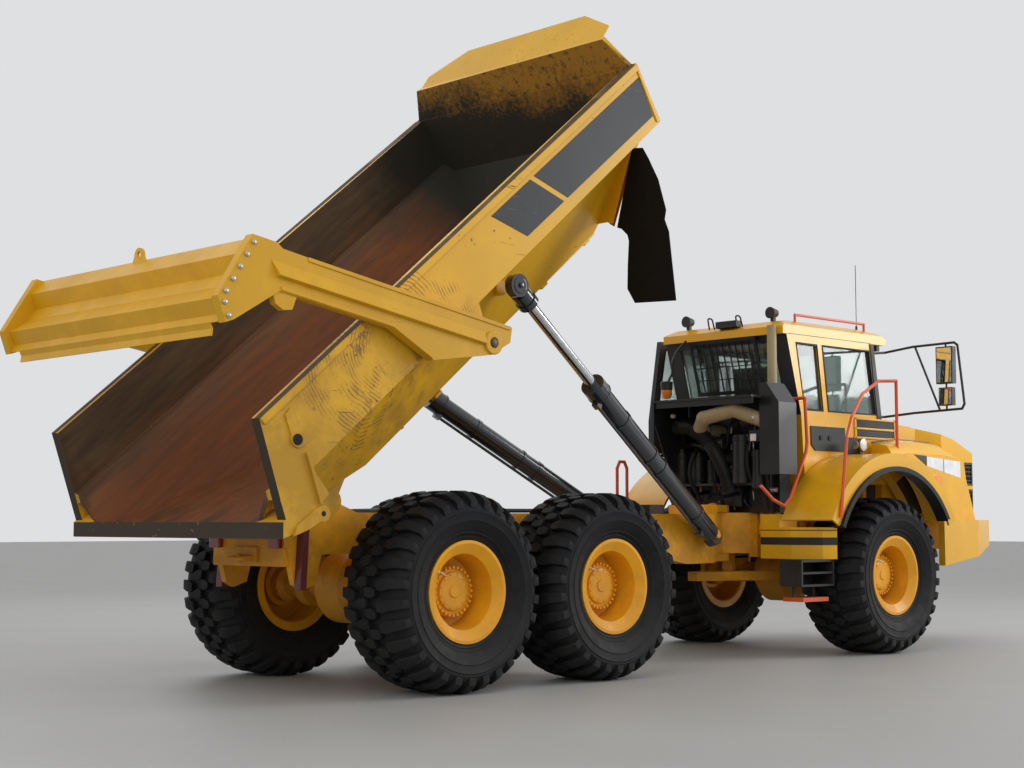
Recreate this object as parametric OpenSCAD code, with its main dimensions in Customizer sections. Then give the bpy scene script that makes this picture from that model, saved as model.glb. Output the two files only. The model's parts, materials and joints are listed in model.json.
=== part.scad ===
// Articulated dump truck, six wheels, bed raised and tailgate lifted.
// X runs forward, Y to the left and Z up, with the ground at Z = 0.

/* [Chassis] */
// Distance from the rear axle to the middle axle
bogie_base = 1670; // [1600:10:1750]
// Distance from the middle axle to the front axle
main_base = 4175; // [4100:5:4300]
// Distance from the steering hinge to the front axle
hitch_back = 1210; // [1190:5:1240]
// Distance between the wheel centres across the truck
track = 2216; // [2200:2:2260]
// Height of the top of the rear frame beams
frame_top = 1400; // [1380:5:1420]
// Depth of the rear frame beams
frame_depth = 330; // [280:5:380]
// Width across the outside of the rear frame beams
frame_w = 980; // [940:5:1020]

/* [Wheels] */
// Outer radius of a tyre, to the tips of its lugs
tyre_r = 785; // [775:1:795]
// Width of a tyre
tyre_w = 725; // [690:5:745]
// Outer radius of a rim's flange
rim_r = 399; // [385:1:410]
// Radius of the spindle that carries a wheel
spindle_r = 90; // [80:1:100]

/* [Bed] */
// Angle of the bed above its lowered place
dump_angle = 39.7; // [38:0.1:41]
// Height of the bed's hinge
hinge_z = 1483; // [1475:1:1490]
// Distance from the rear axle back to the bed's hinge
hinge_back = 694; // [684:1:704]
// Width over the bed's outer sides
bed_w = 2900; // [2880:5:2930]
// Width between the bed's inner sides
bed_inner_w = 2706; // [2690:2:2720]
// Height of the top of the side rails with the bed lowered
rail_z = 2753; // [2730:1:2780]
// Height of the fold under the side bands with the bed lowered
fold_z = 2195; // [2180:1:2215]
// Height of the underside of the bed's floor with the bed lowered
belly_z = 1535; // [1530:1:1545]
// Width of the flat part of the bed's floor, outside
floor_w = 1440; // [1420:5:1450]
// Thickness of the bed's floor and lower walls
bed_wall = 40; // [30:1:45]
// Distance from the rear axle to the front face of the headboard
headboard_x = 3755; // [3740:1:3765]

/* [Cab] */
// Width of the cab
cab_w = 1600; // [1580:5:1620]
// Height of the underside of the roof
cab_top = 3220; // [3205:5:3230]
// Thickness of the cab's walls
cab_wall = 60; // [50:1:70]
// Angle through which the door stands open
door_open = 176; // [170:1:178]

/* [Hoist] */
// Outer radius of a hoist barrel
barrel_r = 92; // [88:1:96]
// Radius of a hoist rod
rod_r = 50; // [45:1:55]

/* [Hidden] */
$fn = 48;
gap = 6;
seat = 0.3;
run = 0.05;
mid_x = 3050;
axle_x = [0, bogie_base, bogie_base + main_base];
wheel_y = track / 2;
hitch_x = axle_x[2] - hitch_back;
hitch_z = 1170;
hinge = [-hinge_back, 0, hinge_z];

// Each piece is placed from the rear axle and then moved so that the truck's middle is at X = 0.
module on_truck() translate([-mid_x, 0, 0]) children();
module both() {
    children();
    mirror([0, 1, 0]) children();
}
// A plate or bar whose outline is in X and Z, between two values of Y
module across(y0, y1) translate([0, y1, 0]) rotate([90, 0, 0]) linear_extrude(y1 - y0) children();
// A bar whose outline is in Y and Z, between two values of X
module along(x0, x1) translate([x0, 0, 0]) rotate([90, 0, 90]) linear_extrude(x1 - x0) children();
module upright(z0, z1) translate([0, 0, z0]) linear_extrude(z1 - z0) children();
module box(a, b) translate(a) cube(b - a);
// A round bar between two points
module bar(a, b, r) {
    d = b - a;
    l = norm(d);
    translate(a) rotate([0, acos(d[2] / l), atan2(d[1], d[0])]) cylinder(r = r, h = l);
}
// A bent tube through a list of points
module tube(points, r) {
    for (i = [1 : len(points) - 1]) bar(points[i - 1], points[i], r);
    for (i = [1 : len(points) - 2]) translate(points[i]) sphere(1.06 * r);
}
module cross_bore(x, z, r, y0, y1) translate([x, y1, z]) rotate([90, 0, 0]) cylinder(r = r, h = y1 - y0);

// Wheels
lugs = 15;
lug_turn = 6;
lug_h = 42;
lug_w = 125;
module tyre_at(x, side) translate([x, side * wheel_y, tyre_r]) rotate([-90 * side, 0, 0])
    color([0.1, 0.1, 0.11]) tyre();
module tyre() {
    half = tyre_w / 2;
    bead = half - 85;
    base = tyre_r - lug_h;
    rotate([0, 0, lug_turn]) {
        rotate_extrude($fn = lugs) polygon([[rim_r - 63, 8 - bead], [rim_r - 4, -bead],
            [tyre_r - 170, -half + 4], [base, -half + 100], [base, half - 100],
            [tyre_r - 170, half - 4], [rim_r - 4, bead], [rim_r - 63, bead - 8]]);
        // Lugs from the middle over each shoulder, the two rows half a pitch apart
        for (s = [0, 1]) mirror([0, 0, s]) for (i = [0 : lugs - 1]) rotate([0, 0, (i + s / 2) * 360 / lugs])
            rotate([90, 0, 0]) linear_extrude(lug_w, center = true) polygon([[base - 25, 12], [tyre_r, 12],
                [tyre_r, half - 120], [tyre_r - 130, half]]);
    }
}
module rim_at(x, side) translate([x, side * wheel_y, tyre_r]) rotate([-90 * side, 0, 0])
    color([0.95, 0.65, 0.12]) rim();
// Along a wheel's axis Z points outward
hub_face = 110;
module rim() {
    half = tyre_w / 2;
    lip = half - 85;
    r_in = rim_r - 63 - seat;
    bore = spindle_r + run;
    rotate_extrude($fn = 72) polygon([[bore, -120], [190, -120], [190, -20], [r_in - 14, -20],
        [r_in - 14, -lip],
        [r_in, -lip - 14], [rim_r, -lip - 14], [rim_r, -lip - seat - 2], [r_in, -lip + 8 - seat],
        [r_in, lip - 8 + seat], [rim_r, lip + seat + 2], [rim_r, lip + 20], [rim_r - 24, lip + 20],
        [r_in - 40, lip - 30], [r_in - 70, 30], [185, 10], [185, hub_face], [130, hub_face],
        [118, hub_face + 25], [bore, hub_face + 25]]);
    translate([0, 0, hub_face]) cylinder(r = bore + 5, h = 25);
}

// Axles: a banjo housing with a tube and a spindle at each end
axle_tube_r = 105;
module axle(x) translate([x, 0, tyre_r]) {
    inner = wheel_y - 125;
    rotate([-90, 0, 0]) rotate_extrude() polygon([[0, -wheel_y - 80], [spindle_r, -wheel_y - 80],
        [spindle_r, -inner], [150, -inner], [150, -inner + 90], [axle_tube_r, -inner + 130],
        [axle_tube_r, -340], [215, -240], [300, -150], [300, 150], [215, 240], [axle_tube_r, 340],
        [axle_tube_r, inner - 130], [150, inner - 90], [150, inner], [spindle_r, inner],
        [spindle_r, wheel_y + 80], [0, wheel_y + 80]]);
}
module rear_axles() color([0.9, 0.6, 0.1]) for (i = [0, 1]) axle(axle_x[i]);

// Bogie: a walking beam on each side between the two rear axles, on a pin through the frame
bogie_x = bogie_base / 2;
bogie_z = 1130;
bogie_end_r = 175;
bogie_pin_r = 70;
bogie_y = [frame_w / 2 + gap, frame_w / 2 + gap + 110];
module bogie_beams() color([0.85, 0.55, 0.1]) both() across(bogie_y[0], bogie_y[1]) difference() {
    union() {
        for (i = [0, 1]) translate([axle_x[i], tyre_r]) circle(bogie_end_r);
        translate([bogie_x, bogie_z]) circle(150);
        polygon([[0, tyre_r - bogie_end_r], [bogie_base, tyre_r - bogie_end_r],
            [bogie_base + 120, tyre_r + 127], [bogie_x + 75, bogie_z + 130],
            [bogie_x - 75, bogie_z + 130], [-120, tyre_r + 127]]);
    }
    for (i = [0, 1]) translate([axle_x[i], tyre_r]) circle(axle_tube_r + seat);
    translate([bogie_x, bogie_z]) circle(bogie_pin_r + seat);
}

// Rear frame
frame_y = frame_w / 2;
beam_w = 130;
frame_low = frame_top - frame_depth;
frame_end = hitch_x - 430;
nose_low = 920;
roll_shaft_r = 150;
lug_x = 3980;
lug_y = 550;
lug_z = 1190;
hoist_pin_r = 45;
tower_y = [frame_y - 90, frame_y];
ear_r = 105;
hinge_pin_r = 50;
module rear_frame() color([0.95, 0.62, 0.1]) {
    difference() {
        union() {
            both() across(frame_y - beam_w, frame_y) polygon([[-1080, frame_top - 180], [-960, frame_top],
                [3250, frame_top], [3250, frame_low - 60], [2500, frame_low], [-700, frame_low],
                [-1080, frame_low + 60]]);
            // The beams run together into the nose box
            difference() {
                upright(nose_low, frame_top) polygon([[3000, -frame_y], [3300, -frame_y], [3800,
                    -lug_y + 90],
                    [frame_end, -lug_y + 150], [frame_end, lug_y - 150], [3800, lug_y - 90],
                    [3300, frame_y], [3000, frame_y]]);
                across(-frame_w, frame_w) polygon([[2900, 0], [3700, nose_low], [3000, frame_low - 30],
                    [2900, frame_low]]);
            }
            // Cross tubes and the tail plate
            for (x = [-600, 450, 1300, 2300]) cross_bore(x, frame_low + 120, 90, -frame_y + 10,
                frame_y - 10);
            box([-1080, -frame_y + 20, frame_low - 90], [-1020, frame_y - 20, frame_top - 200]);
            // Hinge towers with their gussets
            both() across(tower_y[0], tower_y[1]) {
                translate([-hinge_back, hinge_z]) circle(ear_r);
                polygon([[-hinge_back - ear_r, hinge_z], [-hinge_back - 220, frame_top - 20],
                    [-hinge_back + 380, frame_top - 20], [-hinge_back + ear_r, hinge_z]]);
            }
            // Lower stop brackets at the tail
            both() across(frame_y - 60, frame_y) polygon([[-1060, frame_low + 70], [-700, frame_low + 70],
                [-780, 840], [-900, 800], [-980, 840]]);
            // Bogie pin
            cross_bore(bogie_x, bogie_z, bogie_pin_r, -bogie_y[1], bogie_y[1]);
            cross_bore(bogie_x, bogie_z, 130, -frame_y, frame_y);
            // Shafts that carry the hoist barrels
            both() hoist_lug();
            // Flange of the roll bearing
            translate([frame_end - 120, 0, hitch_z]) rotate([0, 90, 0]) cylinder(r = 235, h = 160);
        }
        cross_bore(-hinge_back, hinge_z, hinge_pin_r + run, -frame_w, frame_w);
        translate([frame_end - 300, 0, hitch_z]) rotate([0, 90, 0]) cylinder(r = roll_shaft_r + run,
            h = 500);
    }
    // Levers beside the middle axle, on their brackets, low enough to clear the lowered bed
    both() {
        across(lever_y, lever_y + 40) difference() {
            polygon([[1640, frame_top - 60], [1800, frame_top - 60], [1830, 1440], [1800, lever_top],
                [1700, lever_top], [1620, 1460]]);
            for (i = [0 : 3]) translate([1765 - 20 * i, 1385 + 32 * i]) circle(8);
        }
        box([1640, frame_y, frame_top - 120], [1800, lever_y + 40, frame_top - 60]);
    }
}
lever_y = 640;
lever_top = 1525;

// Line of a hoist cylinder on the left side: lower eye, rod eye and the unit vector between them
hoist_low = [lug_x, lug_y, lug_z];
hoist_high = [550, 1350, 3224];
hoist_len = norm(hoist_high - hoist_low);
hoist_dir = (hoist_high - hoist_low) / hoist_len;
// The hinge line of a barrel is tilted so that the eye follows the bed's side
hoist_axis = [0.1113, 0.9477, 0.2992];
module hoist_lug() translate(hoist_low) rotate([0, acos(hoist_axis[2]), atan2(hoist_axis[1], hoist_axis[0])])
    translate([0, 0, -170]) cylinder(r = hoist_pin_r, h = 170 + 75);
module on_hoist() translate(hoist_low)
    rotate([0, acos(hoist_dir[2]), atan2(hoist_dir[1], hoist_dir[0])]) children();

// Hoist cylinders, drawn along Z from the lower eye
barrel_l = 2640;
rod_back = 1490;
hoist_eye_r = 95;
hoist_eye_y = [1335, 1415];
module barrel() {
    difference() {
        union() {
            translate([0, 0, 60]) cylinder(r = barrel_r, h = barrel_l - 60);
            translate([0, 0, barrel_l - 150]) cylinder(r = barrel_r + 16, h = 150);
            for (z = [420, 1250, 2050]) translate([0, 0, z]) cylinder(r = barrel_r + 7, h = 45);
            // Feed pipe along the barrel and its two blocks
            translate([barrel_r + 26, 0, 220]) cylinder(r = 14, h = barrel_l - 360);
            for (z = [200, barrel_l - 190]) box([barrel_r - 20, -30, z], [barrel_r + 46, 30, z + 70]);
        }
        translate([0, 0, 300]) cylinder(r = rod_r + run, h = barrel_l);
    }
}
module hoist_barrel() color([0.13, 0.14, 0.16]) difference() {
    union() {
        on_hoist() barrel();
        hoist_ring(100, 45);
    }
    hoist_ring(hoist_pin_r + run, 200);
}
module hoist_ring(r, half) translate(hoist_low)
    rotate([0, acos(hoist_axis[2]), atan2(hoist_axis[1], hoist_axis[0])])
    translate([0, 0, -half]) cylinder(r = r, h = 2 * half);
module hoist_rod() color([0.75, 0.76, 0.78]) {
    on_hoist() translate([0, 0, rod_back]) cylinder(r = rod_r, h = hoist_len - rod_back - 80);
    translate([hoist_high[0], hoist_eye_y[1], hoist_high[2]]) rotate([90, 0, 0])
        cylinder(r = hoist_eye_r, h = hoist_eye_y[1] - hoist_eye_y[0]);
    on_hoist() translate([0, 0, hoist_len - 243]) cylinder(r = 82, h = 160);
}

// Hitch: turns in the rear frame and carries the front unit on an upright pin
ear_t = 75;
hitch_pin_r = 60;
hitch_low = 930;
hitch_high = 1495;
tongue_z = [hitch_low + ear_t, hitch_high - ear_t];
tongue_r = 150;
module hitch() color([0.95, 0.6, 0.1]) {
    difference() {
        union() {
            upright(hitch_low, hitch_high) polygon([[frame_end + 50, -240], [hitch_x - 190, -240],
                [hitch_x - 190, 240], [frame_end + 50, 240]]);
            for (z = [hitch_low, hitch_high - ear_t]) upright(z, z + ear_t) {
                translate([hitch_x, 0]) circle(185);
                polygon([[hitch_x - 195, -240], [hitch_x, -185], [hitch_x, 185], [hitch_x - 195, 240]]);
            }
        }
        // Round openings in the sides of the bearing housing
        translate([frame_end + 145, 0, hitch_z]) rotate([90, 0, 0]) cylinder(r = 62, h = 600, center = true);
    }
    translate([frame_end - 260, 0, hitch_z]) rotate([0, 90, 0]) cylinder(r = roll_shaft_r, h = 320);
    upright(hitch_low - 20, hitch_high + 20) translate([hitch_x, 0]) circle(hitch_pin_r);
}

// Front frame
front_y = 420;
front_beam_w = 110;
front_top = 1345;
front_low = 1010;
frame_front = axle_x[2] + 2560;
tow_r = 28;
tow_z = 1210;
tow_x = frame_front + 35;
module front_frame() color([0.95, 0.62, 0.1]) difference() {
    union() {
        both() across(front_y - front_beam_w, front_y) polygon([[hitch_x + 220, front_low - 40],
            [hitch_x + 220, front_top + 60], [hitch_x + 420, front_top + 60], [hitch_x + 560, front_top],
            [frame_front, front_top],
            [frame_front, front_low + 40], [frame_front - 300, front_low - 10],
            [hitch_x + 900, front_low]]);
        // Tongue in the hitch
        upright(tongue_z[0] + gap / 2, tongue_z[1] - gap / 2) {
            translate([hitch_x, 0]) circle(tongue_r);
            polygon([[hitch_x, -tongue_r], [hitch_x + 300, -front_y + 20], [hitch_x + 300, front_y - 20],
                [hitch_x, tongue_r]]);
        }
        for (x = [hitch_x + 250, frame_front - 60])
            box([x, -front_y + 10, front_low], [x + 60, front_y - 10, front_top]);
        for (x = [axle_x[2] - 420, axle_x[2] + 420, axle_x[2] + 1500])
            cross_bore(x, front_low + 90, 60, -front_y + 10, front_y - 10);
        // Bracket for the arm below the hitch, and outriggers under the cab
        box([hitch_x + 250, -60, 820 + seat], [hitch_x + 310, 60, front_low + 20]);
        for (x = [hitch_x + 570, axle_x[2] + 560]) {
            box([x, -700, front_top - 120], [x + 90, 700, front_top - 20]);
            both() translate([x + 45, 600, front_top - 30]) cylinder(r = 40,
                h = cab_low - front_top + 30 - seat);
        }
        both() box([hitch_x + 245, front_y - 10, 1200], [hitch_x + 335, 560 - seat, 1300]);
        // Bumper brackets
        both() box([frame_front - 10, 330, 1110], [nose_x + 115 - seat, 400, 1300]);
        // Seats on top of the struts
        both() box([axle_x[2] - 110, front_y - 10, strut_top], [axle_x[2] + 110, strut_y + 110, front_top]);
        // Front tow eye, for a pin dropped in from above
        upright(tow_z - 35, tow_z + 35) {
            translate([tow_x, 0]) circle(65);
            translate([frame_front - 20, -65]) square([tow_x - frame_front + 20, 130]);
        }
    }
    translate([hitch_x, 0, 0]) cylinder(r = hitch_pin_r + run, h = 3000);
    translate([tow_x, 0, tow_z - 100]) cylinder(r = tow_r, h = 200);
}

// Front axle, with its A-shaped arm under the hitch and two spring struts
arm_w = 90;
strut_y = 560;
strut_top = 1230;
module front_axle() color([0.95, 0.66, 0.12]) {
    axle(axle_x[2]);
    upright(730, 730 + arm_w) for (s = [-1, 1]) polygon([[hitch_x - 300, 0], [hitch_x - 300, 60 * s],
        [hitch_x - 150, 120 * s], [axle_x[2] - axle_tube_r - 60, 440 * s], [axle_x[2], 440 * s],
        [axle_x[2], 340 * s], [hitch_x - 60, 0]]);
    both() translate([axle_x[2], strut_y, tyre_r]) cylinder(r = 85, h = strut_top - tyre_r - seat);
}

// Engine, one plain block
module engine() color([0.2, 0.2, 0.21]) box([axle_x[2] + 890, -300, front_low + 150 + seat],
    [axle_x[2] + 2000, 300, 1900]);

// Hood and nose: the side view and the plan cut each other
nose_x = axle_x[2] + 2520;
hood_back = axle_x[2] + 790;
hood_wall = 30;
nose_w = 1800;
nose_low_z = 1345.3;
module hood_side(t) polygon([[hood_back + t, 1430 - t], [hood_back + t, 2400 - t], [hood_back + 500,
    2365 - t],
    [hood_back + 1130, 2245 - t], [nose_x - 180, 2090 - t], [nose_x - 60 - t, 2045 - t],
    [nose_x - t, 1900], [nose_x - t, nose_low_z - t], [hood_back + 600, nose_low_z - t],
    [hood_back + 600, 1430 - t]]);
module hood_plan(t) polygon([[hood_back - 1, -720 + t], [hood_back + 600, -760 + t],
    [hood_back + 900, -nose_w / 2 + t], [nose_x - 190, -nose_w / 2 + t], [nose_x - t, -nose_w / 2 + 170],
    [nose_x - t, nose_w / 2 - 170], [nose_x - 190, nose_w / 2 - t], [hood_back + 900, nose_w / 2 - t],
    [hood_back + 600, 760 - t], [hood_back - 1, 720 - t]]);
module hood_form(t) intersection() {
    across(-1000, 1000) hood_side(t);
    upright(1000, 2500) hood_plan(t);
}
grille_z = [1430, 1730];
grille_h = 260;
grille_back = 430;
grille_y = nose_w / 2 - 190;
module hood() color([0.95, 0.66, 0.12]) difference() {
    hood_form(0);
    hood_form(hood_wall);
    // Open behind and at the grille, which runs round both corners
    box([hood_back - 10, -640, 1350], [hood_back + 60, 640, 2300]);
    for (z = grille_z) grille_band(z, 0);
}
module grille_band(z, t) box([nose_x - grille_back + t, -nose_w, z + t], [nose_x + 50, nose_w,
    z + grille_h - t]);
module grille() color([0.08, 0.08, 0.09]) for (z = grille_z) {
    difference() {
        intersection() {
            hood_form(0);
            grille_band(z, seat);
        }
        hood_form(22);
        // Openings between the rims and the posts at the corners
        box([nose_x - grille_back + 25, -nose_w, z + 25], [nose_x - 210, nose_w, z + grille_h - 25]);
        box([nose_x - 100, -grille_y + 25, z + 25], [nose_x + 50, grille_y - 25, z + grille_h - 25]);
    }
    for (i = [1 : 4]) intersection() {
        difference() {
            hood_form(6);
            hood_form(20);
        }
        box([nose_x - grille_back + 10, -nose_w, z + 50 * i], [nose_x, nose_w, z + 50 * i + 14]);
    }
}

// Bumper: a centre beam with tapered corner and side pieces
bumper_top = 1345;
bumper_back = axle_x[2] + 1130;
module bumper_plan(t) polygon([[bumper_back - 2 * t, -1270 + t], [axle_x[2] + 2050 - t, -1130 + t],
    [nose_x + 175 - t, -880 + t], [nose_x + 175 - t, 880 - t], [axle_x[2] + 2050 - t, 1130 - t],
    [bumper_back - 2 * t, 1270 - t]]);
module bumper() color([0.95, 0.7, 0.25]) difference() {
    intersection() {
        across(-1300, 1300) polygon([[bumper_back, bumper_top], [nose_x + 175, bumper_top],
            [nose_x + 165, 1060], [axle_x[2] + 2050, 945], [bumper_back + 10, 860]]);
        union() {
            upright(700, 1400) difference() {
                bumper_plan(0);
                bumper_plan(60);
            }
            // Ledges beside the nose
            both() intersection() {
                upright(1322, bumper_top + 1) difference() {
                    bumper_plan(0);
                    bumper_plan(190);
                }
                box([bumper_back, 750, 1300], [nose_x + 170, 1300, 1400]);
            }
        }
    }
    box([nose_x, -180, 1100], [nose_x + 300, 180, 1320]);
}

// Fenders: shells bent round the front tyres that run on into the wings beside the nose
arch_r = 1100;
fender_r = 1235;
fender_y = [815, 1425];
module arch_disc(r) translate([axle_x[2], tyre_r]) circle(r = r, $fn = 192);
module arch_ring(r0, r1, a0, a1) difference() {
    intersection() {
        arch_disc(r1);
        translate([axle_x[2], tyre_r]) polygon([[0, 0], [2200 * cos(a0), 2200 * sin(a0)],
            [0, 4000], [2200 * cos(a1), 2200 * sin(a1)]]);
    }
    arch_disc(r0);
}
wing_back = axle_x[2] + 300;
wing_top = 2045;
module wing_plan(t) polygon([[wing_back + t, 905 + t], [nose_x - 230 - 4 * t, 905 + t],
    [nose_x - 230 - 4 * t, 960 - 0.59 * t], [axle_x[2] + 1900, 1000 - t], [axle_x[2] + 1100, 1085 - t],
    [wing_back + t, 1160 - t]]);
module wing_form(t) intersection() {
    upright(1300, 2100) wing_plan(t);
    across(880, 1450) polygon([[wing_back, bumper_top + seat - t], [wing_back, 1983 - t],
        [wing_back + 400, wing_top - t], [axle_x[2] + 1500, wing_top - t], [nose_x - 520 - t, 2010 - t],
        [nose_x - 470 - t, 1800], [nose_x - 250 - t, bumper_top + seat - t]]);
}
module fenders() color([0.96, 0.68, 0.1]) both() difference() {
    union() {
        across(fender_y[0], fender_y[1]) arch_ring(arch_r, fender_r, 27.2, 153);
        difference() {
            wing_form(0);
            across(800, 1500) arch_disc(arch_r);
        }
    }
    across(fender_y[0] - 1, fender_y[1] - 25) arch_ring(arch_r - 60, fender_r - 25, 10, 170);
    wing_form(25);
    headlamp_slot(0);
}
module fender_lips() color([0.12, 0.12, 0.12]) both()
    across(fender_y[1] - 100, fender_y[1] + 35) difference() {
        arch_ring(arch_r - 48, arch_r - seat, 27.2, 153);
        translate([axle_x[2] + 900, 0]) square([600, bumper_top + 5]);
    }

// Cab: a hollow shell with cut windows, a roof, a seat inside and a door on the left
cab_y = cab_w / 2;
cab_low = 1720;
sill_z = 2410;
cab_back = [5160, 5110, 4880];
cab_front = [6600, 6520, 6380];
module cab_side(t, lift) polygon([[cab_back[0] + t, cab_low + t], [cab_back[1] + t, sill_z],
    [cab_back[2] + t - 0.28 * lift, cab_top + lift], [cab_front[2] - t - 0.17 * lift, cab_top + lift],
    [cab_front[1] - t, sill_z], [cab_front[0] - t, sill_z - 100], [cab_front[0] - t, cab_low + t]]);
module cab_form(t, lift) across(-cab_y + t, cab_y - t) cab_side(t, lift);
door_x = [5700, 6500];
door_z = [2060, 3280];
// Window outlines: rear quarter, side, and their places seen from the front
module quarter_glass(t, longer) polygon([[5170 + t, sill_z + 45 + t], [5030 + t, cab_top - 75 - t],
    [5395 + longer - t, cab_top - 75 - t], [5490 + longer - t, sill_z + 45 + t]]);
module side_glass(t) polygon([[5570 + t, sill_z + 45 + t], [5475 + t, cab_top - 75 - t],
    [6325 - t, cab_top - 75 - t], [6445 - t, sill_z + 45 + t]]);
module cab_openings(t) {
    across(cab_y - 100, cab_y + 50) quarter_glass(t, 130);
    across(-cab_y - 50, -cab_y + 100) {
        quarter_glass(t, 0);
        side_glass(t);
    }
    box([4700, -620 + t, sill_z + 130 + t], [5300, 620 - t, cab_top - 70 - t]);
    box([6200, -700 + t, sill_z + 20 + t], [6700, 700 - t, cab_top - 70 - t]);
}
module cab_shell() color([0.93, 0.66, 0.2]) {
    door_pins();
    cab_walls();
}
module cab_walls() difference() {
    cab_form(0, 0);
    cab_form(cab_wall, 200);
    cab_openings(0);
    // Doorway
    across(cab_y - 100, cab_y + 50) polygon([[door_x[0] + 30, door_z[0] + 40], [door_x[1] - 40,
        door_z[0] + 40],
        [door_x[1] - 40, sill_z], [6335, cab_top - 60], [door_x[0], cab_top - 60]]);
}
module cab_glass() color([0.55, 0.68, 0.66]) intersection() {
    difference() {
        cab_form(20, 0);
        cab_form(28, 0);
    }
    cab_openings(seat);
}
roof_x = [4832, 6660];
module cab_roof() color([0.95, 0.72, 0.25]) intersection() {
    across(-cab_y, cab_y) polygon([[roof_x[0], cab_top + seat], [roof_x[0], 3300], [roof_x[0] + 120, 3365],
        [5300, 3398], [6100, 3392], [roof_x[1] - 130, 3345], [roof_x[1], 3270], [roof_x[1] - 30,
            cab_top + seat]]);
    along(4700, 6800) polygon([[-cab_y + 6, cab_top], [-cab_y + 6, 3315], [-cab_y + 120, 3375], [-300, 3400],
        [300, 3400], [cab_y - 120, 3375], [cab_y - 6, 3315], [cab_y - 6, cab_top]]);
}
module cab_interior() color([0.16, 0.16, 0.17]) {
    // Floor mat, seat pedestal, cushion, back and headrest
    box([5260, -600, cab_low + cab_wall + seat], [6480, 600, cab_low + cab_wall + 60]);
    box([5420, -200, cab_low + cab_wall + 55], [5800, 200, 2120]);
    box([5380, -260, 2115], [5900, 260, 2240]);
    seat_back();
    // Dashboard, steering column and wheel
    box([6200, -600, 2120], [6460, 600, sill_z - 40]);
    box([6300, -600, cab_low + cab_wall + 55], [6460, 600, 2125]);
    bar([6230, 0, 2260], [6040, 0, 2500], 28);
    translate([6040, 0, 2500]) rotate([0, -38, 0]) {
        rotate_extrude() translate([200, 0]) circle(r = 14, $fn = 16);
        for (a = [0, 120, 240]) rotate([0, 0, a]) translate([0, -14, -8]) cube([196, 28, 16]);
    }
}
module seat_back() across(-240, 240) polygon([[5390, 2235], [5500, 2235], [5400, 2960], [5310, 2950]]);

// Door: drawn closed, then swung about its hinge pin
door_t = [806, 862];
door_hinge = [5680, 900];
module door_outline() polygon([[door_x[0], door_z[0]], [door_x[0], sill_z], [5668, door_z[1]],
    [6360, door_z[1]], [door_x[1], sill_z], [door_x[1], door_z[0]]]);
module door_window(t) polygon([[door_x[0] + 70 + t, sill_z + 50 + t], [5745 + t, door_z[1] - 80 - t],
    [6290 - t, door_z[1] - 80 - t], [6425 - t, sill_z + 50 + t]]);
module swung() translate([door_hinge[0], door_hinge[1], 0]) rotate([0, 0, door_open])
    translate([-door_hinge[0], -door_hinge[1], 0]) children();
knuckle_z = [2130, 2330];
module cab_door() color([0.12, 0.12, 0.13]) swung() {
    difference() {
        across(door_t[0], door_t[1]) door_outline();
        across(door_t[0] - 1, door_t[1] + 1) door_window(0);
    }
    for (z = knuckle_z) difference() {
        union() {
            translate([door_hinge[0], door_hinge[1], z]) cylinder(r = 24, h = 60);
            box([door_hinge[0] + 15, door_t[1] - 10, z], [door_hinge[0] + 90, door_hinge[1] + 15, z + 60]);
        }
        translate([door_hinge[0], door_hinge[1], z - 1]) cylinder(r = 12 + run, h = 62);
    }
    box([door_x[1] - 120, door_t[1] - 5, 2300], [door_x[1] - 40, door_t[1] + 25, 2325]);
}
module door_glass() color([0.55, 0.68, 0.66]) swung() across(door_t[0] + 24,
    door_t[0] + 32) door_window(seat);
module door_pins() for (z = knuckle_z) {
    translate([door_hinge[0], door_hinge[1], z - 30]) cylinder(r = 12, h = 110);
    box([door_hinge[0] - 60, cab_y - 20, z - 40], [door_hinge[0] + 12, door_hinge[1] + 12, z - gap]);
}

// Guard over the rear window
guard_lean = 0.284;
module rear_guard() color([0.09, 0.09, 0.1]) {
    for (y = [-440, 405]) guard_piece(y, y + 35, 2650, 3215);
    for (z = [2650, 3180]) guard_piece(-440, 440, z, z + 35);
    for (i = [1 : 9]) guard_piece(-424 + 85 * i - 4, -424 + 85 * i + 4, 2680, 3185);
    for (i = [1 : 3]) guard_piece(-410, 410, 2680 + 125 * i, 2688 + 125 * i);
    for (y = [-430, 395], z = [2660, 3180]) across(y, y + 30) polygon([[guard_x(z) + 10, z],
        [guard_x(z) + 60 - seat, z], [guard_x(z + 25) + 60 - seat, z + 25], [guard_x(z + 25) + 10, z + 25]]);
}
function guard_x(z) = cab_back[1] - guard_lean * (z - sill_z) - 60;
module guard_piece(y0, y1, z0, z1) across(y0, y1) polygon([[guard_x(z0), z0], [guard_x(z0) + 16, z0],
    [guard_x(z1) + 16, z1], [guard_x(z1), z1]]);

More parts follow.
